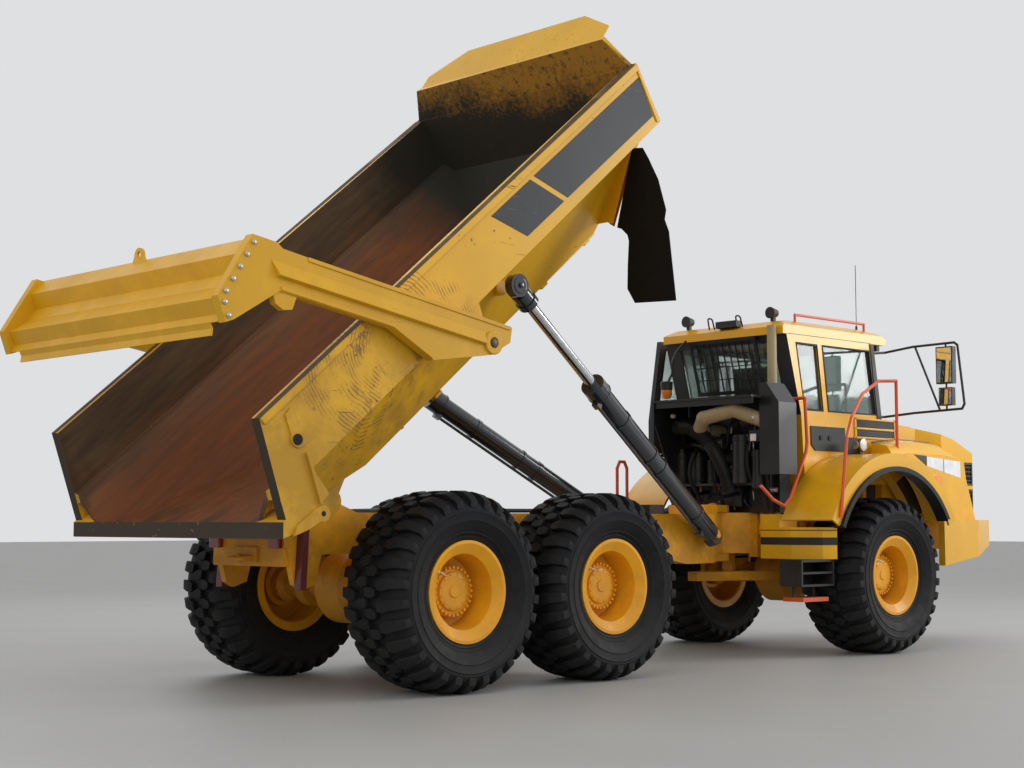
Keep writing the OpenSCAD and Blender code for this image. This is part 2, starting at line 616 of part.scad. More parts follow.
// Deck and dark cover behind the cab, over the hitch
deck_z = 2550;
plate_x = 4870;
cover_y = -760;
module rear_deck() color([0.1, 0.1, 0.11]) {
    box([4300, -800, deck_z], [5040, 500, deck_z + 22]);
    box([plate_x, -700, tongue_z[1] - gap / 2 + seat], [5040, 700, deck_z]);
    box([4320, -790, deck_z - 60], [4345, 490, deck_z]);
    // Tall cover on the right
    difference() {
        along(4475, 4760) polygon([[-1000, 1790], [-1000, 2500], [-850, 2700], [cover_y, 2700],
            [cover_y, 1790]]);
        along(4485, 4750) polygon([[-990, 1700], [-990, 2495], [-845, 2690], [cover_y - 10, 2690],
            [cover_y - 10, 1700]]);
    }
    box([4600, -762, 1830], [4640, -690, 1870]);
    box([4600, -700, 1830], [4880, -660, 1870]);
    // Shelf in the open bay, with its canisters, a lying filter and a thick hose
    box([4610, -560, 1690], [4875, 600, 1715]);
    for (c = [[4740, 470, 90, 330], [4740, 250, 90, 330], [4720, 20, 70, 250]])
        translate([c[0], c[1], 1710]) {
            cylinder(r = c[2], h = c[3]);
            cylinder(r = c[2] / 2, h = c[3] + 45);
        }
    cross_bore(4770, 1980, 80, -600, -120);
    for (y = [-540, -220]) box([4750, y, 1710], [4790, y + 40, 1985]);
    tube([[4720, 20, 1960], [4700, 20, 2060], [4690, 250, 2130], [4760, 560, 2100], [4880, 600, 2060]], 32);
}
module air_ducts() color([0.93, 0.72, 0.35]) {
    intersection() {
        tube([[4900, 40, 2250], [4500, 30, 2255], [4380, -130, 2370], [4420, -480, 2440], [4585, -790,
            2310]], 72);
        box([4200, cover_y + seat, 2100], [plate_x - seat, 200, deck_z - 1]);
    }
    // Upright pipe at the cab's corner
    bar([4770, -700, deck_z + 22 + seat], [4770, -700, 3300], 48);
}

// Tanks below the cab, between the hitch and the front wheels
module side_tanks() color([0.11, 0.11, 0.12]) both() {
    upright(960, 1270) polygon([[4730, 560], [4730, 940], [4850, 1230], [4990, 1300], [5020, 560]]);
    box([4730, 560, 1265], [5020, 795, 1400]);
}

// Steps: a rubber-hung bottom step and a box of treads above it
module steps() both() {
    color([0.1, 0.1, 0.11]) difference() {
        box([4460, 1000, 700], [4990, 1260, 960 - seat]);
        box([4480, 1020, 720], [4970, 1300, 820]);
        box([4480, 1020, 840], [4970, 1300, 935]);
    }
    color([0.1, 0.1, 0.11]) for (x = [4520, 4830]) box([x, 1100, 590], [x + 40, 1115, 705]);
    color([0.75, 0.2, 0.15]) box([4480, 1020, 555], [4890, 1260, 595]);
}

// Handrails: the arch over the right fender, loops at the steps and the rail on the roof
rail_r = 17;
module handrails() color([0.85, 0.25, 0.18]) {
    tube([[4860, -1442.3, 1370], [4975, -1442.3, 2150], [5130, -1400, 2360], [5500, -1270, 2610],
        [6000, -1130, 2780], [6370, -1100, 2805], [6370, -1100, 2020.9]], rail_r);
    tube([[4230, -960, 1670], [4420, -960, 1540], [4600, -960, 1480], [4700, -960, 1560], [4965, -960, 2020],
        [4985, -960, 2120], [4955, -960, 2561], [4955, -800.3, 2561]], rail_r);
    tube([[4565, 1235, 960], [4565, 1235, 1900], [4605, 1235, 1970], [4680, 1235, 1970], [4720, 1235, 1900],
        [4720, 1235, 960]], rail_r);
    difference() {
        tube([[5160, -700, 3340], [5160, -700, 3440], [6380, -700, 3440], [6380, -700, 3340]], 14);
        translate([0, 0, seat]) cab_roof();
    }
}

// Mirrors on bent arms at the cab's front pillars
module mirrors() color([0.09, 0.09, 0.1]) both() {
    tube([[6400, 765, 3120], [6680, 765, 3150], [6700, 1100, 3190], [6700, 1600, 3200], [6700, 1640, 3170],
        [6700, 1710, 2550], [6700, 1680, 2500], [6700, 1100, 2480], [6640, 765, 2450], [6515.8, 765,
            2450]], 13);
    box([6655, 1405, 2770], [6730, 1600, 3160]);
    box([6660, 1430, 2540], [6725, 1590, 2730]);
    bar([6700, 1500, 2485], [6700, 1500, 3195], 10);
}

// Lamps: headlamps in the wings, round work lamps on the fenders and lamps on the roof
module headlamp_slot(t) intersection() {
    wing_form(0);
    across(0, 1500) polygon([[6950 + t, 1925 + t], [7760 - t, 1810 + t], [7760 - t, 1990 - t],
        [6950 + t, 2025 - t]]);
}
module headlamp(t) difference() {
    headlamp_slot(t);
    wing_form(26);
}
module lamps() {
    color([0.8, 0.85, 0.88]) both() headlamp(seat);
    // The door's swing leaves room for a fender lamp on the right only
    color([0.12, 0.12, 0.13]) {
        translate([5760, -1000, 2115]) rotate([0, 90, 0]) cylinder(r1 = 45, r2 = 70, h = 110);
        box([5820, -1015, 2020.3], [5870, -985, 2070]);
    }
    color([0.12, 0.12, 0.13]) for (y = [-560, 560]) {
        box([4960, y - 20, 3370], [5000, y + 20, 3430]);
        translate([4925, y, 3455]) rotate([0, 90, 0]) cylinder(r1 = 60, r2 = 40, h = 100);
    }
}

// Bed, drawn lowered and then raised about its hinge
module raised() translate(hinge) rotate([0, -dump_angle, 0]) translate(-hinge) children();
rear_top_x = -1344;
rear_low = [-1652, 1960];
tail_z = 1970;
floor_back_x = -350;
floor_back_z = 1570;
floor_front_x = 3050;
bed_y = bed_w / 2;
fold_y = 1300;
wall_slope = (fold_y - floor_w / 2) / (fold_z - floor_back_z);
module bed_side() polygon([[rear_top_x, rail_z], rear_low, [-1700, tail_z], [floor_back_x, floor_back_z],
    [floor_front_x, belly_z], [3700, 2170], [headboard_x, rail_z]]);
module bed_hollow_side() polygon([[-2000, 3200], [-2000, 2100], [-1690, tail_z + 48],
    [floor_back_x + 6, floor_back_z + bed_wall + 2], [floor_front_x - 20, belly_z + bed_wall + 2],
    [3655, 2185], [headboard_x - 52, rail_z + 10], [headboard_x - 52, 3200]]);
module bed_section() polygon([[-floor_w / 2, belly_z - 60], [floor_w / 2, belly_z - 60],
    [floor_w / 2, floor_back_z - 20], [fold_y, fold_z], [bed_y, fold_z], [bed_y, rail_z + 1], [-bed_y,
        rail_z + 1],
    [-bed_y, fold_z], [-fold_y, fold_z], [-floor_w / 2, floor_back_z - 20]]);
module bed_hollow_section() {
    y0 = floor_w / 2 - 20;
    y1 = bed_inner_w / 2;
    polygon([[-y0, 1500], [y0, 1500], [y0, floor_back_z], [fold_y, fold_z + 64], [y1, fold_z + 80],
        [y1, 3200],
        [-y1, 3200], [-y1, fold_z + 80], [-fold_y, fold_z + 64], [-y0, floor_back_z]]);
}
module bed() color([0.95, 0.68, 0.12]) raised() {
    difference() {
        union() {
            intersection() {
                across(-bed_y, bed_y) bed_side();
                along(-1800, headboard_x + 50) bed_section();
            }
            // Full-width sill and the end plates of the side bands
            across(-bed_y, bed_y) polygon([[-1638, 2060], [-1713, 1970], [-1600, 1925], [-1490, 1925],
                [-1490, 2060]]);
            both() across(bed_inner_w / 2, bed_y) polygon([[-1610, 2060], rear_low, [-1560, 1940],
                [-1200, 1960],
                [-1200, fold_z + 5], [-1560, fold_z + 5]]);
        }
        intersection() {
            across(-bed_y - 10, bed_y + 10) bed_hollow_side();
            along(-2100, headboard_x + 100) bed_hollow_section();
        }
    }
    // Headboard above the rails
    intersection() {
        across(-bed_y, bed_y) polygon([[headboard_x - 48, rail_z - 30], [headboard_x - 22, 3050],
            [headboard_x + 25, 3050], [headboard_x, rail_z], [headboard_x, rail_z - 30]]);
        along(3600, 3900) polygon([[-1400, rail_z - 20], [1400, rail_z - 20], [1400, rail_z], [1210, 3100],
            [-1210, 3100], [-1400, rail_z]]);
    }
    spill_guard();
    // Hinge ears and pin
    both() across(frame_y + gap, frame_y + gap + 70) {
        translate([-hinge_back, hinge_z]) circle(ear_r);
        polygon([[-hinge_back - ear_r, hinge_z], [-hinge_back - 140, 1690], [-hinge_back + 330, 1585],
            [-hinge_back + ear_r, hinge_z]]);
    }
    cross_bore(-hinge_back, hinge_z, hinge_pin_r, -frame_y - gap - 10, frame_y + gap + 10);
    // Short bosses that face the rods' eyes
    both() intersection() {
        cross_bore(rod_boss[0], rod_boss[1], 60, 1000, rod_boss_y);
        along(1200, 1600) polygon([[rod_wall_y, 1900], [1400, 1900], [1400, 2160], [rod_wall_y + 200,
            2160]]);
    }
    // Brackets and pins of the tailgate's arms
    both() {
        across(1390, 1445) polygon([[540, fold_z + 5], [tailgate_pivot[0] - 75, tailgate_pivot[1] - 20],
            [tailgate_pivot[0] - 40, tailgate_pivot[1] - 70], [tailgate_pivot[0] + 40,
                tailgate_pivot[1] - 70],
            [tailgate_pivot[0] + 75, tailgate_pivot[1] - 20], [890, fold_z + 5]]);
        cross_bore(tailgate_pivot[0], tailgate_pivot[1], 35, 1440, gate_y[1] + 6);
    }
    both() flap_plane() translate([-7, 0, 0]) along(0, 7) polygon([[775, 100], [900, 100], [960, 80],
        [1320, 678],
        [1340, 742], [1270, 742]]);
}
// Rod eyes in the bed's lowered place
rod_boss = [1375, 2028];
rod_boss_y = 1200;
rod_wall_y = floor_w / 2 + (1900 - floor_back_z + 20) * wall_slope;
tailgate_pivot = [714, 1914];
gate_y = [1480, 1560];
// Mud flaps hang in a plane that leans forward
module flap_plane() translate([floor_front_x, 0, 1520]) rotate([0, 25.5, 0]) children();
module mud_flaps() color([0.07, 0.07, 0.07]) raised() both() flap_plane() along(seat, seat + 9)
    polygon([[1000, 40], [1330, 700], [1446, 685], [1490, 588], [1560, 390], [1590, 120], [1555, 40],
        [1580, -70],
        [1530, -673], [1056, -650], [996, -515], [1050, -300], [1110, -95], [1105, -40], [1050, 20]]);
// Guard plate that leans forward from the top of the headboard, with ribs under it
module spill_guard() {
    intersection() {
        across(-1300, 1300) polygon([[headboard_x - 5, 3028], [4165, 3146], [4178, 3100], [4186, 3102],
            [4172, 3160], [headboard_x - 5, 3041]]);
        upright(3000, 3200) polygon([[3700, -1205], [3930, -1205], [4200, -730], [4200, 730], [3930, 1205],
            [3700, 1205]]);
    }
    for (y = [-700, -350, 0, 350, 700]) across(y - 5, y + 5) polygon([[headboard_x + 5, 3040],
        [headboard_x + 5, 2950], [4080, 3124]]);
}

// Tailgate: arms and end plates outside the bed and a folded panel behind it
module gate_arm() polygon([[-1557, 2505], [-1350, 2470], [-1300, 2430], [-1080, 2390], [920, 2050],
    [900, 1930], [700, 1820], [100, 1740], [-300, 1955], [-1320, 2130], [-1700, 1900], [-1770, 1875],
    [-1835, 2054]]);
module lifted() translate([tailgate_pivot[0], 0, tailgate_pivot[1]]) rotate([0, dump_angle, 0])
    translate([-tailgate_pivot[0], 0, -tailgate_pivot[1]]) children();
module tailgate() color([0.95, 0.68, 0.12]) raised() lifted() {
    both() across(gate_y[0], gate_y[1]) difference() {
        gate_arm();
        translate(tailgate_pivot) circle(35 + run);
    }
    // Bent sheet between the end plates, behind the sill and the ends of the side bands
    across(-gate_y[0] - 5, gate_y[0] + 5) folded(gate_folds, 16);
    across(-1353, 1353) folded([[-1765, 1892], [-1745, 1850], [-1752, 1800]], 16);
    // Lifting eye
    along(-1505, -1485) difference() {
        union() {
            translate([0, 2535]) circle(62);
            polygon([[-110, 2440], [110, 2440], [60, 2540], [-60, 2540]]);
        }
        translate([0, 2545]) circle(24);
    }
    // Tabs under the arms
    both() across(gate_y[0] + 10, gate_y[1] - 10) polygon([[-1390, 2160], [-1350, 2040], [-1280, 2000],
        [-1205, 2010], [-1150, 2150]]);
}
// Side view of the sheet's rear face, from its top to its lower edge
gate_folds = [[-1480, 2500], [-1605, 2375], [-1562, 2252], [-1625, 2160], [-1790, 2050], [-1737, 1945],
    [-1765, 1888]];
module folded(points, t) polygon(concat(points, [for (i = [len(points) - 1 : -1 : 0]) points[i] + [t, 0]]));

on_truck() rear_frame();
on_truck() rear_axles();
on_truck() bogie_beams();
on_truck() hitch();
on_truck() front_frame();
on_truck() front_axle();
on_truck() engine();
on_truck() hood();
on_truck() grille();
on_truck() bumper();
on_truck() fenders();
on_truck() fender_lips();
on_truck() cab_shell();
on_truck() cab_roof();
on_truck() cab_glass();
on_truck() cab_interior();
on_truck() cab_door();
on_truck() door_glass();
on_truck() rear_guard();
on_truck() rear_deck();
on_truck() air_ducts();
on_truck() side_tanks();
on_truck() steps();
on_truck() handrails();
on_truck() mirrors();
on_truck() lamps();
on_truck() bed();
on_truck() mud_flaps();
on_truck() tailgate();
on_truck() hoist_barrel();  // hoist_barrel_left
on_truck() mirror([0, 1, 0]) hoist_barrel();  // hoist_barrel_right
on_truck() hoist_rod();  // hoist_rod_left
on_truck() mirror([0, 1, 0]) hoist_rod();  // hoist_rod_right
on_truck() tyre_at(axle_x[0], 1);  // tyre_rear_left
on_truck() tyre_at(axle_x[0], -1);  // tyre_rear_right
on_truck() tyre_at(axle_x[1], 1);  // tyre_middle_left
on_truck() tyre_at(axle_x[1], -1);  // tyre_middle_right
on_truck() tyre_at(axle_x[2], 1);  // tyre_front_left
on_truck() tyre_at(axle_x[2], -1);  // tyre_front_right
on_truck() rim_at(axle_x[0], 1);  // rim_rear_left
on_truck() rim_at(axle_x[0], -1);  // rim_rear_right
on_truck() rim_at(axle_x[1], 1);  // rim_middle_left
on_truck() rim_at(axle_x[1], -1);  // rim_middle_right
on_truck() rim_at(axle_x[2], 1);  // rim_front_left
on_truck() rim_at(axle_x[2], -1);  // rim_front_right
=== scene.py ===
"""Looks of an articulated dump truck, laid round its packed construction."""

import json
import math

import bmesh
import bpy
from mathutils import Matrix, Vector


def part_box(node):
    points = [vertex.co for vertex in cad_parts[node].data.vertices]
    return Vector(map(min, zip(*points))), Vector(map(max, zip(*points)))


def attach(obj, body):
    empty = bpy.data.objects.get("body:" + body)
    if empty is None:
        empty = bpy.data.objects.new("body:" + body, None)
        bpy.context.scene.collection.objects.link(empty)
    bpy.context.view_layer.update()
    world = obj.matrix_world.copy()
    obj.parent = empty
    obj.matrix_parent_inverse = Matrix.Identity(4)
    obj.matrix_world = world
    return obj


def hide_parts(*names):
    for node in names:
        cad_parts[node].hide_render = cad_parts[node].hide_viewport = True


bl_info = {
    "name": "Articulated dump truck",
    "version": (1, 0, 0),
    "blender": (4, 5, 0),
    "location": "3D View > Sidebar > Truck",
    "description": "Dresses the construction of a dump truck and sets it on a pale floor",
    "category": "Object",
}

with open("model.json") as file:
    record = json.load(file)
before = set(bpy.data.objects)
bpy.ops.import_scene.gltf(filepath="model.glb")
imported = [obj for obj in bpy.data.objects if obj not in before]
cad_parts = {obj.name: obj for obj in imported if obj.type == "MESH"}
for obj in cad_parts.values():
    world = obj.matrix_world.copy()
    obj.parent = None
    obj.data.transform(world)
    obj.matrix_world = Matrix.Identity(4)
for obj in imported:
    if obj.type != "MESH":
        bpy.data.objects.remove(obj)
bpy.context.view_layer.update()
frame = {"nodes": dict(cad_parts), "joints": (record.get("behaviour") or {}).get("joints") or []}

SIDES = (("left", 1), ("right", -1))
WHEELS = {f"{axle}_{side}": sign for axle in ("rear", "middle", "front") for side, sign in SIDES}
MM = 0.001


def middle(node):
    """Middle of a node's box, in metres."""
    low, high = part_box(node)
    return (low + high) / 2


# Places that everything is set out from
JOINTS = {joint["name"]: joint for joint in frame["joints"]}
REAR_X = middle("rim_rear_left").x
FRONT_X = (middle("rim_front_left").x - REAR_X) / MM
TYRE_LOW, TYRE_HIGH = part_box("tyre_rear_left")
TYRE_R = (TYRE_HIGH.z - TYRE_LOW.z) / 2 / MM
TYRE_HALF = (TYRE_HIGH.y - TYRE_LOW.y) / 2 / MM
RIM_LOW, RIM_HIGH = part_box("rim_rear_left")
RIM_R = (RIM_HIGH.z - RIM_LOW.z) / 2 / MM
RAISED = math.radians(-JOINTS["dump"]["range_deg"][0])
DOOR_OPEN = math.radians(-JOINTS["cab_door"]["range_deg"][0])
BED_HINGE = Vector(JOINTS["dump"]["pos_m"])
DOOR_HINGE = Vector(JOINTS["cab_door"]["pos_m"])
GATE_PIVOT = Vector(JOINTS["tailgate"]["pos_m"])


def about(point, turn):
    """A turn about a point instead of about the origin."""
    return Matrix.Translation(point) @ turn @ Matrix.Translation(-point)


# Faces and pins of the construction that pieces are laid on, in millimetres, as seen on the left
BED_SIDE = 1450
ARM_SIDE = 1560
REAR_SIDE = 491
FRONT_SIDE = 421
CAB_SIDE = 800
BOGIE_SIDE = 606.5
NOSE_X = FRONT_X + 2520
STEPS_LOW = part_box("steps")[0].z / MM
GATE_PIN = (714, 1914)
HOIST_FOOT = (3980, 550, 1190)
HOIST_EYE = (550, 1350, 3224)
FORWARD, LEFT, UP = (1, 0, 0), (0, 1, 0), (0, 0, 1)

# Tyres and hubs, from a wheel's middle: the flat part of the tread, the fall to its shoulder, the
# shoulder, the bead's side wall and the hub's face
CROWN = 0.55 * TYRE_HALF
CROWN_FALL = 62
SHOULDER = TYRE_HALF - 20
BEAD = TYRE_HALF - 85
HUB_OUT = 110

# Shapes are drawn in millimetres from the ground under the rear axle, bed and door parts in their
# lowered and closed places. These matrices bring them to the rest pose.
TRUCK = Matrix.Translation((REAR_X, 0, 0)) @ Matrix.Scale(MM, 4)
BED = about(BED_HINGE, Matrix.Rotation(-RAISED, 4, "Y")) @ TRUCK
GATE_DROP = about(BED_HINGE, Matrix.Rotation(RAISED, 4, "Y")) @ GATE_PIVOT
GATE = Matrix.Translation(GATE_PIVOT - GATE_DROP) @ TRUCK
DOOR = about(DOOR_HINGE, Matrix.Rotation(DOOR_OPEN, 4, "Z")) @ TRUCK


COLOUR = {"size": 3, "subtype": "COLOR", "min": 0, "max": 1}


class Finishes(bpy.types.PropertyGroup):
    """Colours of the truck's paints and rubbers."""

    yellow: bpy.props.FloatVectorProperty(
        name="Yellow paint", description="Colour of the cab, hood and tanks",
        default=(0.88, 0.46, 0.008), **COLOUR)
    bed_yellow: bpy.props.FloatVectorProperty(
        name="Bed paint", description="Colour of the bed's outside and the tailgate",
        default=(0.78, 0.42, 0.006), **COLOUR)
    dark: bpy.props.FloatVectorProperty(
        name="Dark paint", description="Colour of the covers, steps and guards",
        default=(0.012, 0.013, 0.0145), **COLOUR)
    rail: bpy.props.FloatVectorProperty(
        name="Rail paint", description="Colour of the handrails",
        default=(0.72, 0.10, 0.025), **COLOUR)
    rust: bpy.props.FloatVectorProperty(
        name="Rusty floor", description="Colour of the worn steel inside the bed",
        default=(0.145, 0.047, 0.016), **COLOUR)
    rubber: bpy.props.FloatVectorProperty(
        name="Tyre rubber", description="Colour of the tyres",
        default=(0.0060, 0.0066, 0.0078), **COLOUR)


class TyrePattern(bpy.types.PropertyGroup):
    """Pattern of the tyres' lugs."""

    lugs: bpy.props.IntProperty(
        name="Lugs", description="Number of lugs round each shoulder of a tyre",
        default=30, min=12, max=40)
    depth: bpy.props.FloatProperty(
        name="Depth", description="Depth of the grooves between the lugs",
        default=0.045, min=0.02, max=0.06, unit="LENGTH")


class StageLight(bpy.types.PropertyGroup):
    """Floor, lamps and camera."""

    floor: bpy.props.FloatVectorProperty(
        name="Floor", description="Colour of the floor",
        default=(0.40, 0.40, 0.39), **COLOUR)
    sky: bpy.props.FloatProperty(
        name="Sky", description="Strength of the soft light from all round",
        default=0.72, min=0, max=4)
    lamp: bpy.props.FloatProperty(
        name="Lamp", description="Power of the main soft lamp",
        default=1150.0, min=0, max=20000, unit="POWER")
    focal: bpy.props.FloatProperty(
        name="Focal length", description="Focal length of the camera",
        default=59.35, min=20, max=200, unit="CAMERA")


class Tree:
    """Adds nodes to a node tree and links them in one call."""

    def __init__(self, tree):
        self.tree = tree

    def add(self, kind, values=None, **settings):
        node = self.tree.nodes.new(kind)
        for key, value in settings.items():
            setattr(node, key, value)
        for key, value in (values or {}).items():
            self.feed(node.inputs[key], value)
        return node

    def feed(self, socket, value):
        if isinstance(value, bpy.types.NodeSocket):
            self.tree.links.new(value, socket)
        else:
            socket.default_value = value

    def math(self, operation, first, second=0.0, clamp=False):
        values = {0: first, 1: second}
        return self.add("ShaderNodeMath", values, operation=operation, use_clamp=clamp).outputs[0]

    def times(self, first, second, clamp=False):
        return self.math("MULTIPLY", first, second, clamp)

    def plus(self, first, second):
        return self.math("ADD", first, second)

    def noise(self, place, scale, detail=4.0, rough=0.55):
        values = {"Vector": place, "Scale": scale, "Detail": detail, "Roughness": rough}
        return self.add("ShaderNodeTexNoise", values).outputs["Fac"]

    def ramp(self, value, low, high, to_low=0.0, to_high=1.0):
        values = {"Value": value, "From Min": low, "From Max": high, "To Min": to_low, "To Max": to_high}
        return self.add("ShaderNodeMapRange", values, clamp=True).outputs[0]

    def mix(self, factor, first, second):
        return self.add("ShaderNodeMix", {0: factor, 6: first, 7: second}, data_type="RGBA").outputs[2]

    def stretched(self, place, scale):
        return self.add("ShaderNodeMapping", {"Vector": place, "Scale": scale}).outputs[0]

    def split(self, place):
        return self.add("ShaderNodeSeparateXYZ", {0: place}).outputs


def rgb(colour):
    return (*colour, 1.0)


# Kinds of the shader groups' sockets that aren't plain numbers
SOCKETS = {"Place": "NodeSocketVector", "Colour": "NodeSocketColor"}


def shader_group(name, outputs, **inputs):
    """An empty shader group with named sockets, as (group, tree, given values, sockets to feed)."""
    made = bpy.data.node_groups.new(name, "ShaderNodeTree")
    for label, default in {"Place": None, **inputs}.items():
        kind = SOCKETS.get(label, "NodeSocketFloat")
        socket = made.interface.new_socket(label, in_out="INPUT", socket_type=kind)
        if default is not None:
            socket.default_value = default
    for label in outputs:
        kind = SOCKETS.get(label, "NodeSocketFloat")
        made.interface.new_socket(label, in_out="OUTPUT", socket_type=kind)
    tree = Tree(made)
    return made, tree, tree.add("NodeGroupInput").outputs, tree.add("NodeGroupOutput").inputs


def dirt_group():
    """Mud and dust that thin out with height, broken up by noise."""
    made, tree, given, out = shader_group("Road dirt", ["Mask"], Low=0.3, High=1.6, Scale=3.0, Amount=0.5)
    height = tree.split(given["Place"])["Z"]
    values = {"Value": height, "From Min": given["High"], "From Max": given["Low"]}
    fade = tree.add("ShaderNodeMapRange", values).outputs[0]
    broad = tree.noise(given["Place"], given["Scale"], 6.0, 0.65)
    patches = tree.ramp(tree.times(broad, tree.plus(fade, 0.45)), 0.30, 0.62)
    tree.feed(out["Mask"], tree.times(patches, given["Amount"], clamp=True))
    return made


def scratch_group():
    """Thin scratches and chipped specks."""
    made, tree, given, out = shader_group("Scratches", ["Mask"], Scale=9.0, Amount=0.4)
    place = given["Place"]
    lines = tree.noise(tree.stretched(place, (0.35, 4.0, 5.5)), given["Scale"], 3.0, 0.6)
    specks = tree.noise(place, tree.times(given["Scale"], 4.2), 2.0, 0.5)
    region = tree.ramp(tree.noise(place, 1.1, 2.0), 0.42, 0.62)
    found = tree.math("MAXIMUM", tree.ramp(lines, 0.66, 0.69), tree.ramp(specks, 0.71, 0.74))
    tree.feed(out["Mask"], tree.times(tree.times(found, region), given["Amount"], clamp=True))
    return made


def shade_group():
    """Slow lighter and darker patches over a paint."""
    made, tree, given, out = shader_group(
        "Patchy shade", ["Colour", "Value"], Colour=(1, 1, 1, 1), Scale=1.4, Amount=0.15)
    value = tree.noise(given["Place"], given["Scale"], 5.0, 0.6)
    shift = tree.times(tree.math("SUBTRACT", value, 0.5), given["Amount"])
    values = {0: given["Colour"], "Scale": tree.plus(tree.times(shift, 2.0), 1.0)}
    shaded = tree.add("ShaderNodeVectorMath", values, operation="SCALE").outputs[0]
    tree.feed(out["Colour"], shaded)
    tree.feed(out["Value"], value)
    return made


GROUPS = {}
SURFACES = {}


def shared(name):
    """A shader group, built the first time that it is asked for."""
    makers = {"dirt": dirt_group, "scratch": scratch_group, "shade": shade_group}
    if name not in GROUPS:
        GROUPS[name] = makers[name]()
    return GROUPS[name]


class Surface(Tree):
    """A new material's tree, with its Principled BSDF and its rest-pose coordinates."""

    def __init__(self, name):
        material = bpy.data.materials.new(name)
        material.use_nodes = True
        super().__init__(material.node_tree)
        self.shader = material.node_tree.nodes["Principled BSDF"]
        self.place = self.add("ShaderNodeTexCoord").outputs["Object"]
        SURFACES[name] = material

    def put(self, label, value):
        """Feeds an input of the shader."""
        self.feed(self.shader.inputs[label], value)

    def effect(self, name, **values):
        """Outputs of a shared group that is given this material's own values."""
        values = {"Place": self.place, **values}
        return self.add("ShaderNodeGroup", values, node_tree=shared(name)).outputs

    def bump(self, height, strength, distance):
        values = {"Height": height, "Strength": strength, "Distance": distance}
        self.put("Normal", self.add("ShaderNodeBump", values).outputs[0])

    def grain(self, scale, strength, distance=0.001):
        """A fine bump over the whole surface."""
        self.bump(self.noise(self.place, scale, 3.0, 0.6), strength, distance)


def paint(name, colour, rough=0.34, coat=0.35, shade=0.10, dirt=0.35, dirt_low=0.3, dirt_high=1.7,
          dirt_colour=(0.13, 0.085, 0.05), scratch=0.25, scratch_colour=(0.16, 0.09, 0.045),
          scratch_scale=9.0):
    """Painted metal with patches of shade, road dirt and scratches."""
    made = Surface(name)
    shaded = made.effect("shade", Colour=rgb(colour), Amount=shade)
    mud = made.effect("dirt", Low=dirt_low, High=dirt_high, Amount=dirt)["Mask"]
    marks = made.effect("scratch", Scale=scratch_scale, Amount=scratch)["Mask"]
    worn = made.mix(marks, shaded["Colour"], rgb(scratch_colour))
    made.put("Base Color", made.mix(mud, worn, rgb(dirt_colour)))
    covered = made.ramp(made.math("MAXIMUM", mud, marks), 0, 1, rough - 0.06, 0.8)
    made.put("Roughness", made.plus(covered, made.times(shaded["Value"], 0.12)))
    made.put("Specular IOR Level", 0.34)
    made.put("Coat Weight", coat)
    made.put("Coat Roughness", 0.12)
    made.grain(260.0, 0.06)
    return made


def bed_coordinates(made):
    """Coordinates in the lowered bed, in metres from the bed's hinge."""
    values = {0: made.place, 1: tuple(BED_HINGE)}
    moved = made.add("ShaderNodeVectorMath", values, operation="SUBTRACT").outputs[0]
    values = {"Vector": moved, "Axis": (0, 1, 0), "Angle": RAISED}
    return made.add("ShaderNodeVectorRotate", values).outputs[0]


def scrape_middle():
    """Middle of the scraped arcs on the bed's side, in metres from the bed's hinge in the lowered bed."""
    spot = TRUCK @ Vector((-815, 0, 2639))
    return tuple(Matrix.Rotation(RAISED, 3, "Y") @ (spot - BED_HINGE))


def bed_paint(name, colour):
    """Bed paint, with scraped arcs beside the tailgate's arm and dirt along the sill."""
    made = paint(name, colour, rough=0.40, coat=0.1, shade=0.20, dirt=0.50, dirt_low=0.9, dirt_high=3.4,
                 dirt_colour=(0.22, 0.11, 0.03), scratch=0.75, scratch_colour=(0.10, 0.05, 0.02),
                 scratch_scale=5.0)
    local = bed_coordinates(made)
    away = made.add("ShaderNodeVectorMath", {0: local, 1: scrape_middle()}, operation="SUBTRACT").outputs[0]
    parts = made.split(away)
    flat = made.add("ShaderNodeCombineXYZ", {0: parts["X"], 2: parts["Z"]}).outputs[0]
    length = made.add("ShaderNodeVectorMath", {0: flat}, operation="LENGTH").outputs["Value"]
    distance = made.plus(length, made.times(made.noise(made.place, 2.5, 2.0), 0.12))
    rings = made.ramp(made.math("SINE", made.times(distance, 210.0)), 0.45, 0.85)
    thin = made.times(rings, made.ramp(made.noise(made.place, 6.0), 0.46, 0.60))
    smears = made.noise(made.stretched(local, (3.0, 3.0, 1.0)), 2.6, 5.0, 0.7)
    broad = made.times(made.ramp(smears, 0.55, 0.62), made.ramp(distance, 0.72, 0.5))
    region = made.times(made.ramp(distance, 0.24, 0.34), made.ramp(distance, 0.98, 0.86))
    mask = made.times(made.times(made.math("MAXIMUM", thin, broad), region), 0.85, clamp=True)
    before = made.shader.inputs["Base Color"].links[0].from_socket
    made.put("Base Color", made.mix(mask, before, rgb((0.17, 0.075, 0.022))))


